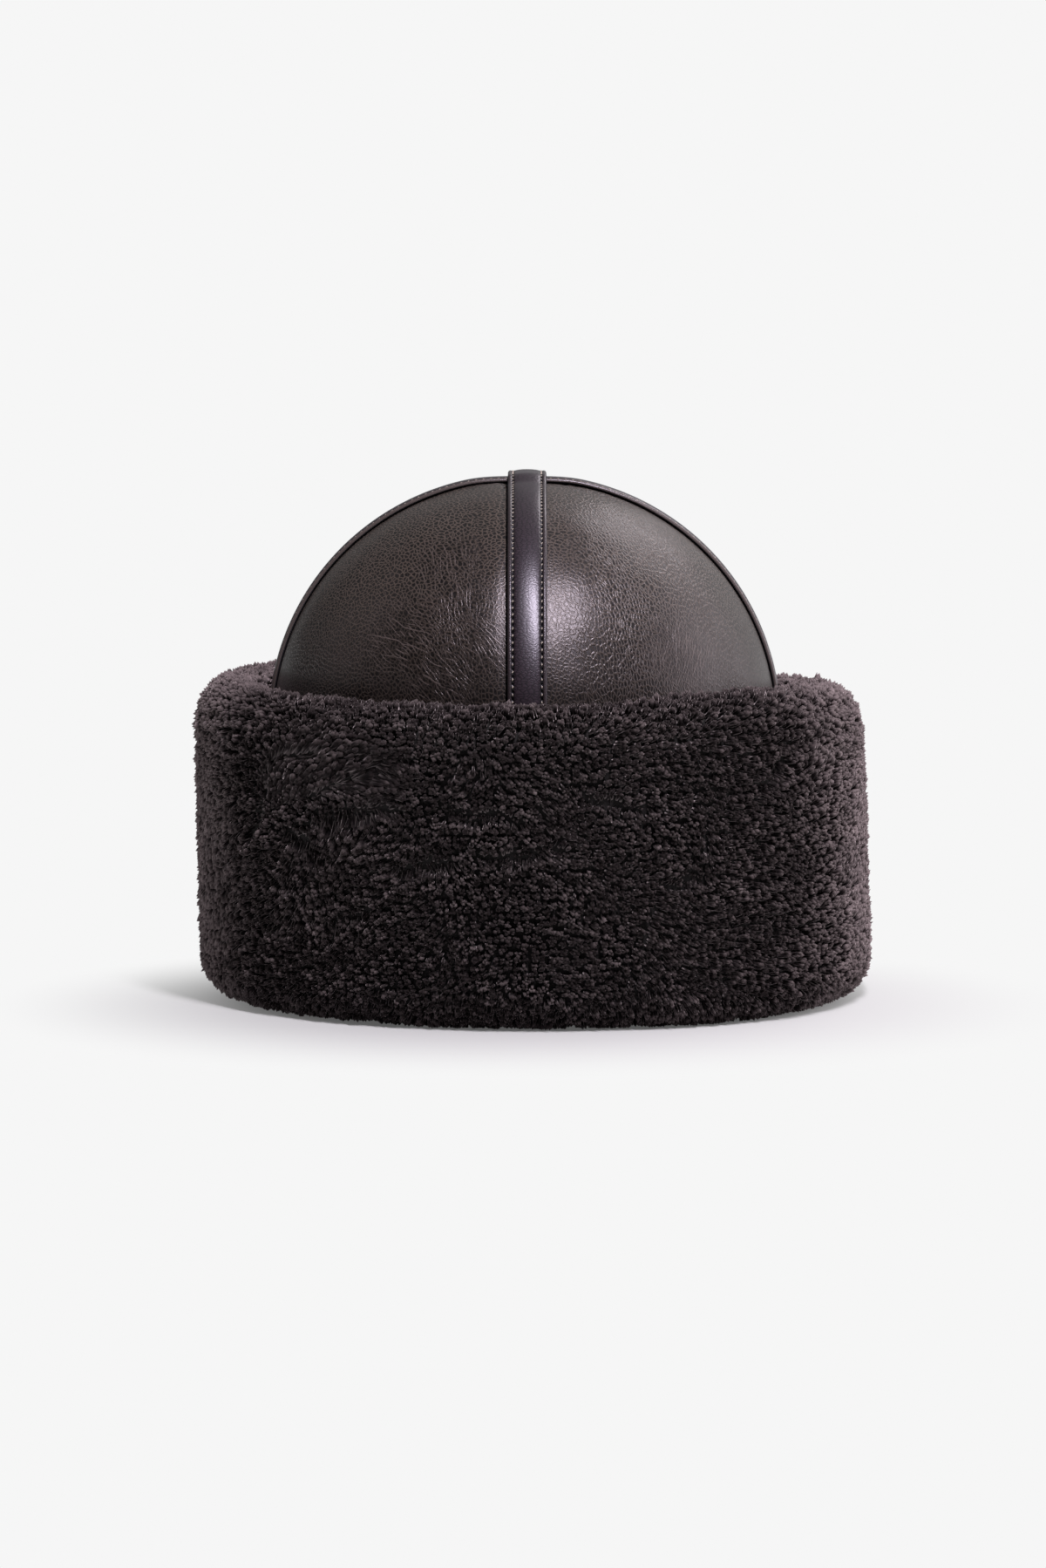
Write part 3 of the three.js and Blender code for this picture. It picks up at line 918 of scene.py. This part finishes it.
class StripRoute:
    """The line of a seam from the cuff over the crown's top to the cuff again."""

    def __init__(self, crown, strip, along, climb, off_centre):
        reach, height = crown_profile(crown, wall_rows=12, dome_rows=160)
        half_length = crown.half_width if along[0] else crown.half_depth
        run = np.concatenate([-reach, reach[-2::-1]]) * half_length
        self.along = np.array(along)
        self.sideways = np.array((-along[1], along[0], 0.0))
        self.centres = run[:, None] * self.along
        self.centres[:, 2] = np.concatenate([height, height[-2::-1]])
        steps = np.linalg.norm(np.diff(self.centres, axis=0), axis=1)
        self.travel = np.concatenate([[0.0], np.cumsum(steps)])
        self.middle = self.travel[len(self.travel) // 2]
        self.crown, self.strip, self.climb = crown, strip, climb
        self.shift = np.array((crown.middle + off_centre, 0.0, 0.0))

    def frame_at(self, travel):
        """Centre, normal, direction and climb at distances from the crown's top."""
        where = travel + self.middle
        centre = np.stack([np.interp(where, self.travel, self.centres[:, i]) for i in range(3)], -1)
        normal = crown_normal(self.crown, centre)
        onwards = unit(np.cross(normal, self.sideways))
        run = np.abs(centre @ self.along)
        raised = self.climb * (1.0 - ease(run, self.strip.climb_until, self.strip.climb_end))
        return centre, normal, onwards, raised

    def place(self, travel, across, height):
        """Points at this distance from the top, across the strip and above its underside."""
        centre, normal, _, raised = self.frame_at(travel)
        offset = self.strip.clearance + raised + height - across ** 2 / (2.0 * self.crown.half_width)
        point = centre + across[..., None] * self.sideways + offset[..., None] * normal
        return point + self.shift


def strip_stations(route, strip):
    """Distances from the top: a quarter stitch apart where the strip shows, and wider below."""
    step = strip.stitch_pitch / 4.0
    shown = np.arange(0, round(STRIP_SHOWN / step) + 1) * step
    hidden = np.linspace(shown[-1], route.middle, HIDDEN_STATIONS)[1:]
    half = np.concatenate([shown, hidden])
    return np.concatenate([-half[:0:-1], half])


def make_strip(crown, strip, name, leather, along, climb, off_centre):
    """A strip of folded leather over the seam that runs along this axis, and the line it follows."""
    route = StripRoute(crown, strip, along, climb, off_centre)
    stations = strip_stations(route, strip)
    half = [(point.across * MM, point.height * MM) for point in STRIP_SECTION]
    outward = np.concatenate([[0.0], np.cumsum(np.hypot(*np.diff(half, axis=0).T))])
    outward = np.concatenate([outward, -outward[:0:-1], [0.0]])
    loop = half + [(-across, height) for across, height in reversed(half[1:])]
    loop.append(loop[0])
    across = np.array([point[0] for point in loop])
    height = np.array([point[1] for point in loop])
    travel, side = np.meshgrid(stations, across, indexing="ij")
    _, level = np.meshgrid(stations, height, indexing="ij")
    phase = travel / strip.stitch_pitch
    at_hole = np.exp(-((phase - np.rint(phase)) / HOLE_LENGTH) ** 2)
    at_line = np.exp(-((np.abs(side) - strip.stitch_across) / HOLE_WIDTH) ** 2)
    on_top = level > 0.5 * MM
    level = level - strip.hole_depth * at_hole * at_line * on_top
    points = route.place(travel, side, level)
    piece, row, column = sheet(f"strip_{name}", points)
    write_map(piece, ROUTE_MAP, outward[column], stations[row])
    merge_doubles(piece, holes=True)
    smooth(piece, 70.0)
    dress(piece, STRIP_SLOT, [f"seam_strip_{name}"], leather)
    return route


def template_of(piece):
    """The points and the faces of a modelled piece, which is then taken away."""
    points = np.array([vertex.co for vertex in piece.data.vertices])
    faces = [tuple(face.vertices) for face in piece.data.polygons]
    bpy.data.objects.remove(piece)
    return points, faces


def curl_template(sides):
    """A curl of wool 1 high: a blunt tube with a low tip, 1 in radius there and slimmer at its root."""
    root, shoulder = 0.75, 0.8
    deselect_all()
    bpy.ops.mesh.primitive_cone_add(
        vertices=sides, radius1=root, radius2=1.0, depth=shoulder, location=(0.0, 0.0, shoulder / 2))
    bpy.ops.object.transform_apply(location=True)
    piece = bpy.context.object
    bpy.ops.object.mode_set(mode="EDIT")
    bpy.ops.mesh.select_mode(type="FACE")
    bpy.ops.mesh.select_all(action="DESELECT")
    bpy.ops.object.mode_set(mode="OBJECT")
    for face in piece.data.polygons:
        face.select = face.normal.z > 0.9
    bpy.ops.object.mode_set(mode="EDIT")
    bpy.ops.mesh.poke(offset=1.0 - shoulder)
    bpy.ops.object.mode_set(mode="OBJECT")
    return template_of(piece)


def stitch_template():
    """A stitch 1 long along X and 1 thick."""
    deselect_all()
    bpy.ops.mesh.primitive_ico_sphere_add(subdivisions=1, radius=0.5)
    return template_of(bpy.context.object)


def copies_at(template, origins, *axes):
    """Points of a template at each origin, with its X, Y and Z along these three axes."""
    points = origins[:, None, :]
    for column, axis in enumerate(axes):
        points = points + template[None, :, column, None] * axis[:, None, :]
    return points


def joined_copies(name, points, faces):
    """One mesh of many copies of a template, given the points of every copy."""
    copies, count = points.shape[:2]
    mesh = bpy.data.meshes.new(name)
    starts, corners = [], []
    for face in faces:
        starts.append(len(corners))
        corners.extend(face)
    all_corners = np.array(corners)[None, :] + np.arange(copies)[:, None] * count
    all_starts = np.array(starts)[None, :] + np.arange(copies)[:, None] * len(corners)
    mesh.vertices.add(copies * count)
    mesh.vertices.foreach_set("co", points.astype(np.float32).ravel())
    mesh.loops.add(all_corners.size)
    mesh.loops.foreach_set("vertex_index", all_corners.astype(np.int32).ravel())
    mesh.polygons.add(all_starts.size)
    mesh.polygons.foreach_set("loop_start", all_starts.astype(np.int32).ravel())
    mesh.update(calc_edges=True)
    mesh.validate()
    mesh.shade_smooth()
    piece = bpy.data.objects.new(name, mesh)
    bpy.context.collection.objects.link(piece)
    return piece, np.array(corners)


def make_stitches(strip, name, route, thread):
    """The stitches of both lines of a strip, each a little different in slant and length."""
    template, faces = stitch_template()
    count = int(STRIP_SHOWN / strip.stitch_pitch)
    travel = (np.arange(-count, count) + 0.5) * strip.stitch_pitch
    random = np.random.default_rng(STITCH_SEED)
    copies = []
    for side in (-1.0, 1.0):
        across = np.full(len(travel), side * strip.stitch_across)
        middle = route.place(travel, across, np.full(len(travel), STITCH_HEIGHT))
        _, normal, onwards, _ = route.frame_at(travel)
        slant = SLANT + SLANT_VARIES * random.normal(size=len(travel))
        direction = unit(onwards + slant[:, None] * route.sideways)
        beside = np.cross(normal, direction)
        long = strip.stitch_length * (1.0 + LENGTH_VARIES * random.normal(size=len(travel)))
        copies.append(copies_at(
            template, middle, long[:, None] * direction, strip.thread * beside, strip.thread * normal))
    piece, _ = joined_copies(f"stitches_{name}", np.concatenate(copies), faces)
    dress(piece, None, [], thread)


def rim_at(angle):
    """Height, foot and lean of the cuff at these angles, eased from one row to the next."""
    eighths = (angle / TURN % 1.0) * len(CUFF_RIM)
    row = np.floor(eighths).astype(int) % len(CUFF_RIM)
    following = (row + 1) % len(CUFF_RIM)
    share = ease(eighths % 1.0, 0.0, 1.0)
    values = []
    for column in RimPlace._fields:
        table = np.array([getattr(place, column) for place in CUFF_RIM]) * MM
        values.append(table[row] * (1.0 - share) + table[following] * share)
    return values


def cuff_face(crown, cuff, zone, angle, share):
    """Places and directions of the cuff's face: point, normal, onwards round it, and up its section.

    The zones are mouth, underside, fold, wall and crest, and share runs through each one."""
    cosine, sine = np.cos(angle), np.sin(angle)
    zero = np.zeros_like(angle)
    inner = np.stack([crown.middle + crown.half_width * cosine, crown.half_depth * sine, zero], -1)
    outer = np.stack([cuff.middle + cuff.half_width * cosine, cuff.half_depth * sine, zero], -1)
    height, foot, lean = rim_at(angle)
    width = np.linalg.norm(outer - inner, axis=-1) + foot
    outwards = unit(outer - inner)
    onwards = np.stack([-outwards[..., 1], outwards[..., 0], zero], -1)
    wall_top = height - cuff.crest
    top_width = width + lean
    half = (top_width - cuff.clearance) / 2.0
    if zone == "mouth":
        facing = math.pi + QUARTER_TURN * share
        out = cuff.head_round - crown.thickness + cuff.head_round * np.cos(facing)
        level = cuff.head_round * (1.0 + np.sin(facing))
    elif zone == "underside":
        facing = np.full_like(share, 3.0 * QUARTER_TURN)
        start = cuff.head_round - crown.thickness
        out = start + (width - cuff.fold_round - start) * share
        level = zero
    elif zone == "fold":
        facing = QUARTER_TURN * (share - 1.0)
        out = width - cuff.fold_round + cuff.fold_round * np.cos(facing)
        level = cuff.fold_round * (1.0 + np.sin(facing))
    elif zone == "wall":
        facing = zero
        out = width + lean * share
        level = cuff.fold_round + (wall_top - cuff.fold_round) * share
    else:
        facing = math.pi * share
        out = top_width - half + half * np.cos(facing)
        level = wall_top + cuff.crest * np.sin(facing)
        facing = np.arctan2(np.sin(facing) * half, np.cos(facing) * cuff.crest)
    point = inner + outwards * out[..., None]
    point[..., 2] = level
    normal = outwards * np.cos(facing)[..., None]
    normal[..., 2] = np.sin(facing)
    upwards = outwards * -np.sin(facing)[..., None]
    upwards[..., 2] = np.cos(facing)
    return point, normal, onwards, upwards


def make_band(crown, cuff, fleece, wool):
    """The matted wool under the curls, as a closed ring."""
    angle = np.linspace(0.0, TURN, BAND_COLUMNS + 1)
    angle[-1] = 0.0
    rows = []
    depth = fleece.pile - fleece.proud
    for zone, usual_length in ZONES.items():
        steps = max(3, round(usual_length / BAND_STEP))
        for step in range(0 if zone == "mouth" else 1, steps + 1):
            share = np.full_like(angle, step / steps)
            point, normal, _, _ = cuff_face(crown, cuff, zone, angle, share)
            rows.append(point - depth * normal)
    foot, _, _, _ = cuff_face(crown, cuff, "crest", angle, np.ones_like(angle))
    foot[..., 2] = cuff.ledge
    _, _, onwards, _ = cuff_face(crown, cuff, "wall", angle, np.zeros_like(angle))
    outwards = np.stack([onwards[:, 1], -onwards[:, 0], 0 * angle], -1)
    rows.append(foot + depth * outwards)
    rows.append(rows[0])
    piece, _, _ = sheet("cuff_band", np.array(rows))
    merge_doubles(piece, holes=True)
    smooth(piece)
    dress(piece, FLEECE_SLOT, ["cuff"], wool)


def tuft_places(crown, cuff, zone, spacing, random):
    """Angles and shares of tufts that are scattered evenly over a zone of the cuff."""
    rows = max(2, round(ZONES[zone] * MM / (spacing * ROW_SHARE)))
    angles, shares = [], []
    for row in range(rows):
        share = (row + 0.5) / rows
        ring = np.linspace(0.0, TURN, ROW_POINTS, endpoint=False)
        points, _, _, _ = cuff_face(crown, cuff, zone, ring, np.full(ROW_POINTS, share))
        around = np.linalg.norm(np.diff(points[:, :2], axis=0, append=points[:1, :2]), axis=1).sum()
        count = round(around / spacing)
        offset = random.uniform(0.0, 1.0)
        place = np.arange(count) + offset + random.uniform(-SCATTER, SCATTER, count)
        angles.append(place / count * TURN)
        shares.append(share + random.uniform(-ROW_SCATTER, ROW_SCATTER, count) / rows)
    return np.concatenate(angles), np.clip(np.concatenate(shares), 0.0, 1.0)


def from_spot(crown, cuff, spot, points):
    """How far points lie from a spot on the cuff's wall: in all, onwards and upwards."""
    centre, _, onwards, upwards = cuff_face(
        crown, cuff, "wall", np.array([spot.azimuth * DEGREE]), np.array([spot.share]))
    offset = points - centre[0]
    return np.linalg.norm(offset, axis=-1), offset @ onwards[0], offset @ upwards[0]


def parted(crown, cuff, points):
    """How far tufts lean away from the partings, onwards and upwards, and how far they sink there."""
    push = np.zeros((len(points), 2))
    sink = np.zeros(len(points))
    field = np.random.default_rng(PARTING_SEED)
    wander = PARTING_WANDER * waves(points, 15 * MM, field)
    broken = 0.5 + 0.5 * ease(waves(points, 11 * MM, field), -0.6, 0.4)
    for parting in PARTINGS:
        _, run, rise = from_spot(crown, cuff, parting, points)
        slope = parting.slope * DEGREE
        along = run * math.cos(slope) + rise * math.sin(slope)
        beside = rise * math.cos(slope) - run * math.sin(slope) + wander
        half = parting.length * MM / 2.0
        weight = broken * (1.0 - ease(np.abs(along), half - 5 * MM, half + 3 * MM))
        sink = np.maximum(sink, PARTING_DEPTH * weight * np.exp(-(beside / PARTING_WIDTH) ** 2))
        weight = weight * np.exp(-(beside / PUSHED_WIDTH) ** 2)
        size = 1.7 * parting.push * MM * weight * np.tanh(beside / (0.4 * MM))
        push[:, 0] -= size * math.sin(slope)
        push[:, 1] += size * math.cos(slope)
    return push, sink


def combed(crown, cuff, points, field):
    """How far tufts have been combed onwards and upwards, and how deep they lie between locks."""
    push = np.zeros((len(points), 2))
    groove = np.zeros(len(points))
    wander = 1.2 * waves(points, 18 * MM, field)
    for spot in COMBING:
        distance, run, rise = from_spot(crown, cuff, spot, points)
        weight = np.exp(-(distance / (spot.reach * MM)) ** 2)
        way = np.array((spot.onwards, spot.upwards))
        push += weight[:, None] * way * MM
        across = (rise * way[0] - run * way[1]) / np.linalg.norm(way)
        off_groove = np.abs(np.sin(math.pi * across / LOCK_WIDTH + wander))
        groove += weight * spot.groove * MM * (1.0 - ease(off_groove, 0.0, 0.75))
    return push, groove


def curl_maps(piece, template, corners, tones):
    """Writes each curl's tone and height into the map that the wool's colour reads."""
    side = np.arctan2(template[:, 1], template[:, 0]) / TURN % 1.0
    height = np.clip(template[:, 2], 0.0, 1.0)
    across = side[corners]
    up = height[corners] + 0.02 * (across > 0.5) * (height[corners] < 0.01)
    u = 0.9 * tones[:, None] + 0.1 * across[None, :]
    v = np.broadcast_to(up, u.shape)
    values = np.stack([u, v], -1).astype(np.float32).ravel()
    for name in (CURL_MAP, BAKE_MAP):
        layer = piece.data.uv_layers.new(name=name)
        layer.data.foreach_set("uv", values)
    first = piece.data.uv_layers[CURL_MAP]
    first.active = True
    first.active_render = True


def curls_on(template, roots, tips, radius, random):
    """Points of a curl from each root to its tip, turned at random about itself."""
    axis = tips - roots
    count = len(roots)
    side = unit(np.cross(axis, random.normal(size=(count, 3))))
    other = np.cross(unit(axis), side)
    sway = side * (random.normal(size=(count, 1)) * SWAY)
    bent = np.sin(math.pi * template[:, 2])[None, :, None]
    straight = copies_at(template, roots, radius[:, None] * side, radius[:, None] * other, axis)
    return straight + bent * sway[:, None, :]


def fleece_lie(crown, cuff, fleece, zone, places, angle):
    """How curls lean, how far they stand out, how pale they are and how flat they were combed.

    They lie more evenly at both sides, further round at the right one, and on the back of the
    crest, and there they are painted paler as painted rim light. They are also painted paler where
    clumps and bulges stand out and darker in the hollows, as painted light and shade."""
    field = np.random.default_rng(fleece.seed + 100)
    onwards, upwards = (
        waves(places, broad, field) + 0.5 * waves(places, fine, field)
        for broad, fine in (LIE_ROUND, LIE_UP))
    lean = np.stack([onwards, upwards - SAG], -1) * LEAN
    combing, groove = combed(crown, cuff, places, field)
    push, sink = parted(crown, cuff, places)
    clump = waves(places, CLUMPS, field)
    tangle = waves(places, TANGLES, field)
    bulge = waves(places, BULGES, field)
    hollow = np.maximum(groove, sink)
    uneven = 0.4 * clump + 0.3 * tangle + 0.35 * bulge
    # The tone is painted paler where clumps and bulges stand out and darker in the hollows, as painted
    # light and shade.
    tone = EVEN_TONE + 0.06 * clump + 0.05 * bulge - 0.04 * hollow / MM
    # At the sides and on the back's crest the curls lie more evenly and are painted paler, as painted rim
    # light.
    evened_and_rim_lit = np.maximum(ease(np.cos(angle), *RIM_LIT_RIGHT), ease(-np.cos(angle), *RIM_LIT_LEFT))
    if zone == "crest":
        evened_and_rim_lit = np.maximum(evened_and_rim_lit, ease(np.sin(angle), *RIM_LIT_BACK))
    uneven = uneven * (1.0 - 0.6 * evened_and_rim_lit)
    tone = tone + fleece.painted_rim_light * evened_and_rim_lit
    laid = np.clip(np.linalg.norm(combing, axis=-1) / (6 * MM), 0.0, 1.0)
    return lean + combing + push, fleece.proud + MM * uneven - hollow, tone, laid


def fleece_zone(crown, cuff, fleece, template, zone, spacing, random):
    """Curls of one zone: their points, tones and angles round the hat."""
    angle, share = tuft_places(crown, cuff, zone, spacing, random)
    point, normal, onwards, upwards = cuff_face(crown, cuff, zone, angle, share)
    count = len(angle)
    on_crest = zone == "crest"
    shake = random.normal(size=(count, 2)) * SHAKE
    stray = (CREST_STRAY if on_crest else STRAY) * random.normal(size=count)
    shade = 0.08 * random.normal(size=count)
    turn = random.uniform(0.0, TURN, count)
    points, tones, angles = [], [], []
    widen = spacing / fleece.tuft_spacing
    fuller = 1.08 if on_crest else 1.0
    for curl in range(fleece.curls):
        swing = turn + TURN * curl / fleece.curls + random.normal(size=count) * 0.25
        around = np.cos(swing)[:, None] * onwards + np.sin(swing)[:, None] * upwards
        later = swing + 0.5
        around_tip = np.cos(later)[:, None] * onwards + np.sin(later)[:, None] * upwards
        place = point + around * fleece.root_spread * widen
        lean, proud, tone, laid = fleece_lie(crown, cuff, fleece, zone, place, angle)
        lean = lean + shake
        jump = (1.0 - 0.5 * laid) * (stray + random.normal(size=count) * JUMP)
        proud = proud + jump
        # A curl that jumps out of its tuft is painted paler, as painted light.
        tone = tone + 0.12 * jump / MM
        if zone in ("underside", "mouth"):
            proud = np.minimum(proud, 0.0)
        low = place - normal * (fleece.pile - fleece.proud)
        high = point + normal * proud[:, None] + around_tip * (fleece.tip_spread * widen)
        high = high + lean[:, :1] * onwards + lean[:, 1:] * upwards
        size = np.clip(1.0 + 0.2 * random.normal(size=count), 0.6, 1.5)
        radius = fuller * fleece.curl_radius * widen * size * (1.0 + 0.35 * laid)
        made = curls_on(template, low, high, radius, random)
        made[..., 2] = np.maximum(made[..., 2], OFF_FLOOR)
        points.append(made)
        tones.append(np.clip(tone + shade + 0.05 * random.normal(size=count), 0.02, 0.98))
        angles.append(angle)
    return np.concatenate(points), np.concatenate(tones), np.concatenate(angles)


def make_fleece(crown, cuff, fleece, wool):
    """All curls of the cuff, in one piece for each quarter of the hat and group of zones."""
    random = np.random.default_rng(fleece.seed)
    for group in FLEECE_GROUPS:
        template, faces = curl_template(group.sides)
        spacing = fleece.tuft_spacing * group.widen
        parts = [
            fleece_zone(crown, cuff, fleece, template, zone, spacing, random) for zone in group.zones]
        points, tones, angles = (np.concatenate([part[i] for part in parts]) for i in range(3))
        for panel in PANELS:
            quarter = np.floor(angles % TURN / QUARTER_TURN) == round(panel.from_angle / QUARTER_TURN)
            name = panel.node.replace("crown_panel", group.name)
            piece, corners = joined_copies(name, points[quarter], faces)
            curl_maps(piece, template, corners, tones[quarter])
            dress(piece, FLEECE_SLOT, ["cuff"], wool)


def make_crown_wool(crown, fleece, wool):
    """The clipped wool inside the crown."""
    template, faces = curl_template(3)
    random = np.random.default_rng(fleece.seed + 1)
    reach, height = crown_profile(crown, wall_rows=40, dome_rows=80)
    half_width = crown.half_width - crown.hide
    half_depth = crown.half_depth - crown.hide
    run = np.concatenate([[0.0], np.cumsum(np.hypot(np.diff(reach) * half_width, np.diff(height)))])
    spacing = CROWN_WOOL_SPACING
    points, normals = [], []
    for travel in np.arange(2 * MM, run[-1], spacing * ROW_SHARE):
        share = np.interp(travel, run, reach)
        level = np.interp(travel, run, height)
        count = max(3, round(TURN * share * (half_width + half_depth) / 2.0 / spacing))
        scattered = np.arange(count) + random.uniform(-SCATTER, SCATTER, count) + random.uniform()
        angle = scattered / count * TURN
        up = np.full(count, level) + random.uniform(-SCATTER, SCATTER, count) * spacing
        place = np.stack([crown.half_width * share * np.cos(angle),
                          crown.half_depth * share * np.sin(angle), up], -1)
        points.append(place)
        normals.append(crown_normal(crown, place))
    points, normals = np.concatenate(points), np.concatenate(normals)
    count = len(points)
    shift = np.array((crown.middle, 0.0, 0.0))
    roots = points - normals * (crown.hide - 0.4 * MM) + shift
    stray = random.normal(size=(count, 3)) * CROWN_WOOL_STRAY
    tips = points - normals * (crown.thickness - 0.2 * MM) + shift + stray
    radius = CROWN_WOOL_RADIUS * np.clip(1.0 + 0.2 * random.normal(size=count), 0.6, 1.5)
    made = curls_on(template, roots, tips, radius, random)
    piece, corners = joined_copies("crown_wool", made, faces)
    tones = np.clip(CROWN_WOOL_TONE + 0.11 * random.normal(size=count), 0.02, 0.98)
    curl_maps(piece, template, corners, tones)
    dress(piece, FLEECE_SLOT, [panel.node for panel in PANELS], wool)


def aimed(place, aim):
    return (Vector(aim) - Vector(place)).to_track_quat("-Z", "Y").to_euler()


def soft_light(lamp, power):
    deselect_all()
    bpy.ops.object.light_add(type="AREA", location=lamp.place, rotation=aimed(lamp.place, LAMPS_AIM))
    light = bpy.context.object
    light.name = lamp.name
    light.data.shape = "RECTANGLE"
    light.data.size, light.data.size_y = lamp.size
    light.data.energy = power
    light.data.color = linear(lamp.colour)[:3]


def pale_surroundings(backdrop):
    """The camera sees an even white, and the hat is lit more from the right and from behind."""
    world = bpy.data.worlds.new("studio")
    bpy.context.scene.world = world
    world.use_nodes = True
    world.node_tree.nodes.clear()
    node = partial(add_node, world.node_tree)
    axes = node("SeparateXYZ", {"Vector": node("TexCoord").outputs["Generated"]})
    from_right = node("MapRange", [axes.outputs["X"], -0.9, 0.9, 0.05, 0.85], **SMOOTH)
    from_behind = node("MapRange", [axes.outputs["Y"], -0.5, 0.6, 0.16, 0.92], **SMOOTH)
    strength = node("Math", [from_right, from_behind], operation="MULTIPLY")
    lighting = node("Background", {"Strength": strength})
    white = node("Background", {"Color": opaque(backdrop)})
    seen = node("LightPath").outputs["Is Camera Ray"]
    node("OutputWorld", {"Surface": node("MixShader", [seen, lighting, white])})


class HAT_OT_stage(bpy.types.Operator):
    """Adds the camera, the soft studio lights, the pale floor and the surroundings"""

    bl_idname = "hat.stage"
    bl_label = "Studio"

    def execute(self, context):
        studio = context.scene.hat_studio
        deselect_all()
        bpy.ops.object.camera_add(
            location=studio.camera_place, rotation=aimed(studio.camera_place, studio.camera_aim))
        camera = context.object
        camera.data.lens = studio.lens
        camera.data.sensor_width = SENSOR_WIDTH
        camera.data.clip_end = FURTHEST_SEEN
        context.scene.camera = camera
        context.scene.view_settings.view_transform = "Standard"
        for lamp in LAMPS:
            soft_light(lamp, getattr(studio, f"{lamp.name}_power"))
        pale_surroundings(studio.backdrop)
        deselect_all()
        bpy.ops.mesh.primitive_circle_add(vertices=128, radius=FLOOR_RADIUS, fill_type="NGON")
        floor = context.object
        floor.name = "floor"
        floor.data.materials.append(seamless_paper(studio.backdrop))
        return {"FINISHED"}


class HAT_OT_panels(bpy.types.Operator):
    """Adds the four hide panels of the crown"""

    bl_idname = "hat.panels"
    bl_label = "Crown panels"

    def execute(self, context):
        scene = context.scene
        hide, matted = sheepskin_nappa(scene.hat_colours, scene.hat_strip), matted_wool()
        for panel in PANELS:
            make_panel(scene.hat_crown, scene.hat_strip.off_centre, panel, hide, matted)
        return {"FINISHED"}


class HAT_OT_strips(bpy.types.Operator):
    """Adds the leather strips over the seams and their stitches"""

    bl_idname = "hat.strips"
    bl_label = "Seam strips"

    def execute(self, context):
        scene = context.scene
        strip, colours = scene.hat_strip, scene.hat_colours
        thread = waxed_thread(colours)
        # The side strip's paler rounded edge is a painted sheen; both strips' lower edges are painted near
        # black, as painted shade.
        sheen_painted_edge = glazed_lambskin(colours, strip, "#4e4543", 7.6 * MM)
        dark_edge = glazed_lambskin(colours, strip, "#2a2224", 6.9 * MM)
        runs = [
            ("side_to_side", sheen_painted_edge, (1.0, 0.0, 0.0), 0.0, 0.0),
            ("front_to_back", dark_edge, (0.0, 1.0, 0.0), strip.climb, strip.off_centre),
        ]
        for name, *run in runs:
            route = make_strip(scene.hat_crown, strip, name, *run)
            make_stitches(strip, name, route, thread)
        return {"FINISHED"}


class HAT_OT_fleece(bpy.types.Operator):
    """Adds the cuff's matted band, the curls of wool on it and the clipped wool in the crown"""

    bl_idname = "hat.fleece"
    bl_label = "Fleece"

    def execute(self, context):
        scene = context.scene
        wool, matted = sheared_wool(scene.hat_colours), matted_wool()
        make_band(scene.hat_crown, scene.hat_cuff, scene.hat_fleece, matted)
        make_fleece(scene.hat_crown, scene.hat_cuff, scene.hat_fleece, wool)
        make_crown_wool(scene.hat_crown, scene.hat_fleece, wool)
        return {"FINISHED"}


class HAT_PT_panel(bpy.types.Panel):
    """Lists the hat's pieces and their sizes in the sidebar"""

    bl_idname = "HAT_PT_panel"
    bl_label = "Shearling Hat"
    bl_space_type = "VIEW_3D"
    bl_region_type = "UI"
    bl_category = "Hat"

    def draw(self, context):
        for operator in OPERATORS:
            self.layout.operator(operator.bl_idname)
        for name, _ in SETTINGS:
            group = getattr(context.scene, name)
            box = self.layout.box()
            for row in group.bl_rna.properties:
                if not row.is_readonly and row.identifier != "name":
                    box.prop(group, row.identifier)


OPERATORS = (HAT_OT_stage, HAT_OT_panels, HAT_OT_strips, HAT_OT_fleece)
SETTINGS = (
    ("hat_crown", CrownSizes),
    ("hat_strip", StripSizes),
    ("hat_cuff", CuffSizes),
    ("hat_fleece", FleeceSizes),
    ("hat_colours", HatColours),
    ("hat_studio", StudioSettings),
)


def register():
    for name, group in SETTINGS:
        bpy.utils.register_class(group)
        setattr(bpy.types.Scene, name, PointerProperty(type=group))
    for operator in OPERATORS:
        bpy.utils.register_class(operator)
    bpy.utils.register_class(HAT_PT_panel)


def unregister():
    bpy.utils.unregister_class(HAT_PT_panel)
    for operator in reversed(OPERATORS):
        bpy.utils.unregister_class(operator)
    for name, group in reversed(SETTINGS):
        delattr(bpy.types.Scene, name)
        bpy.utils.unregister_class(group)


def main():
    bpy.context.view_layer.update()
    register()
    bpy.ops.hat.stage()
    bpy.ops.hat.panels()
    bpy.ops.hat.strips()
    bpy.ops.hat.fleece()


if __name__ == "__main__":
    main()
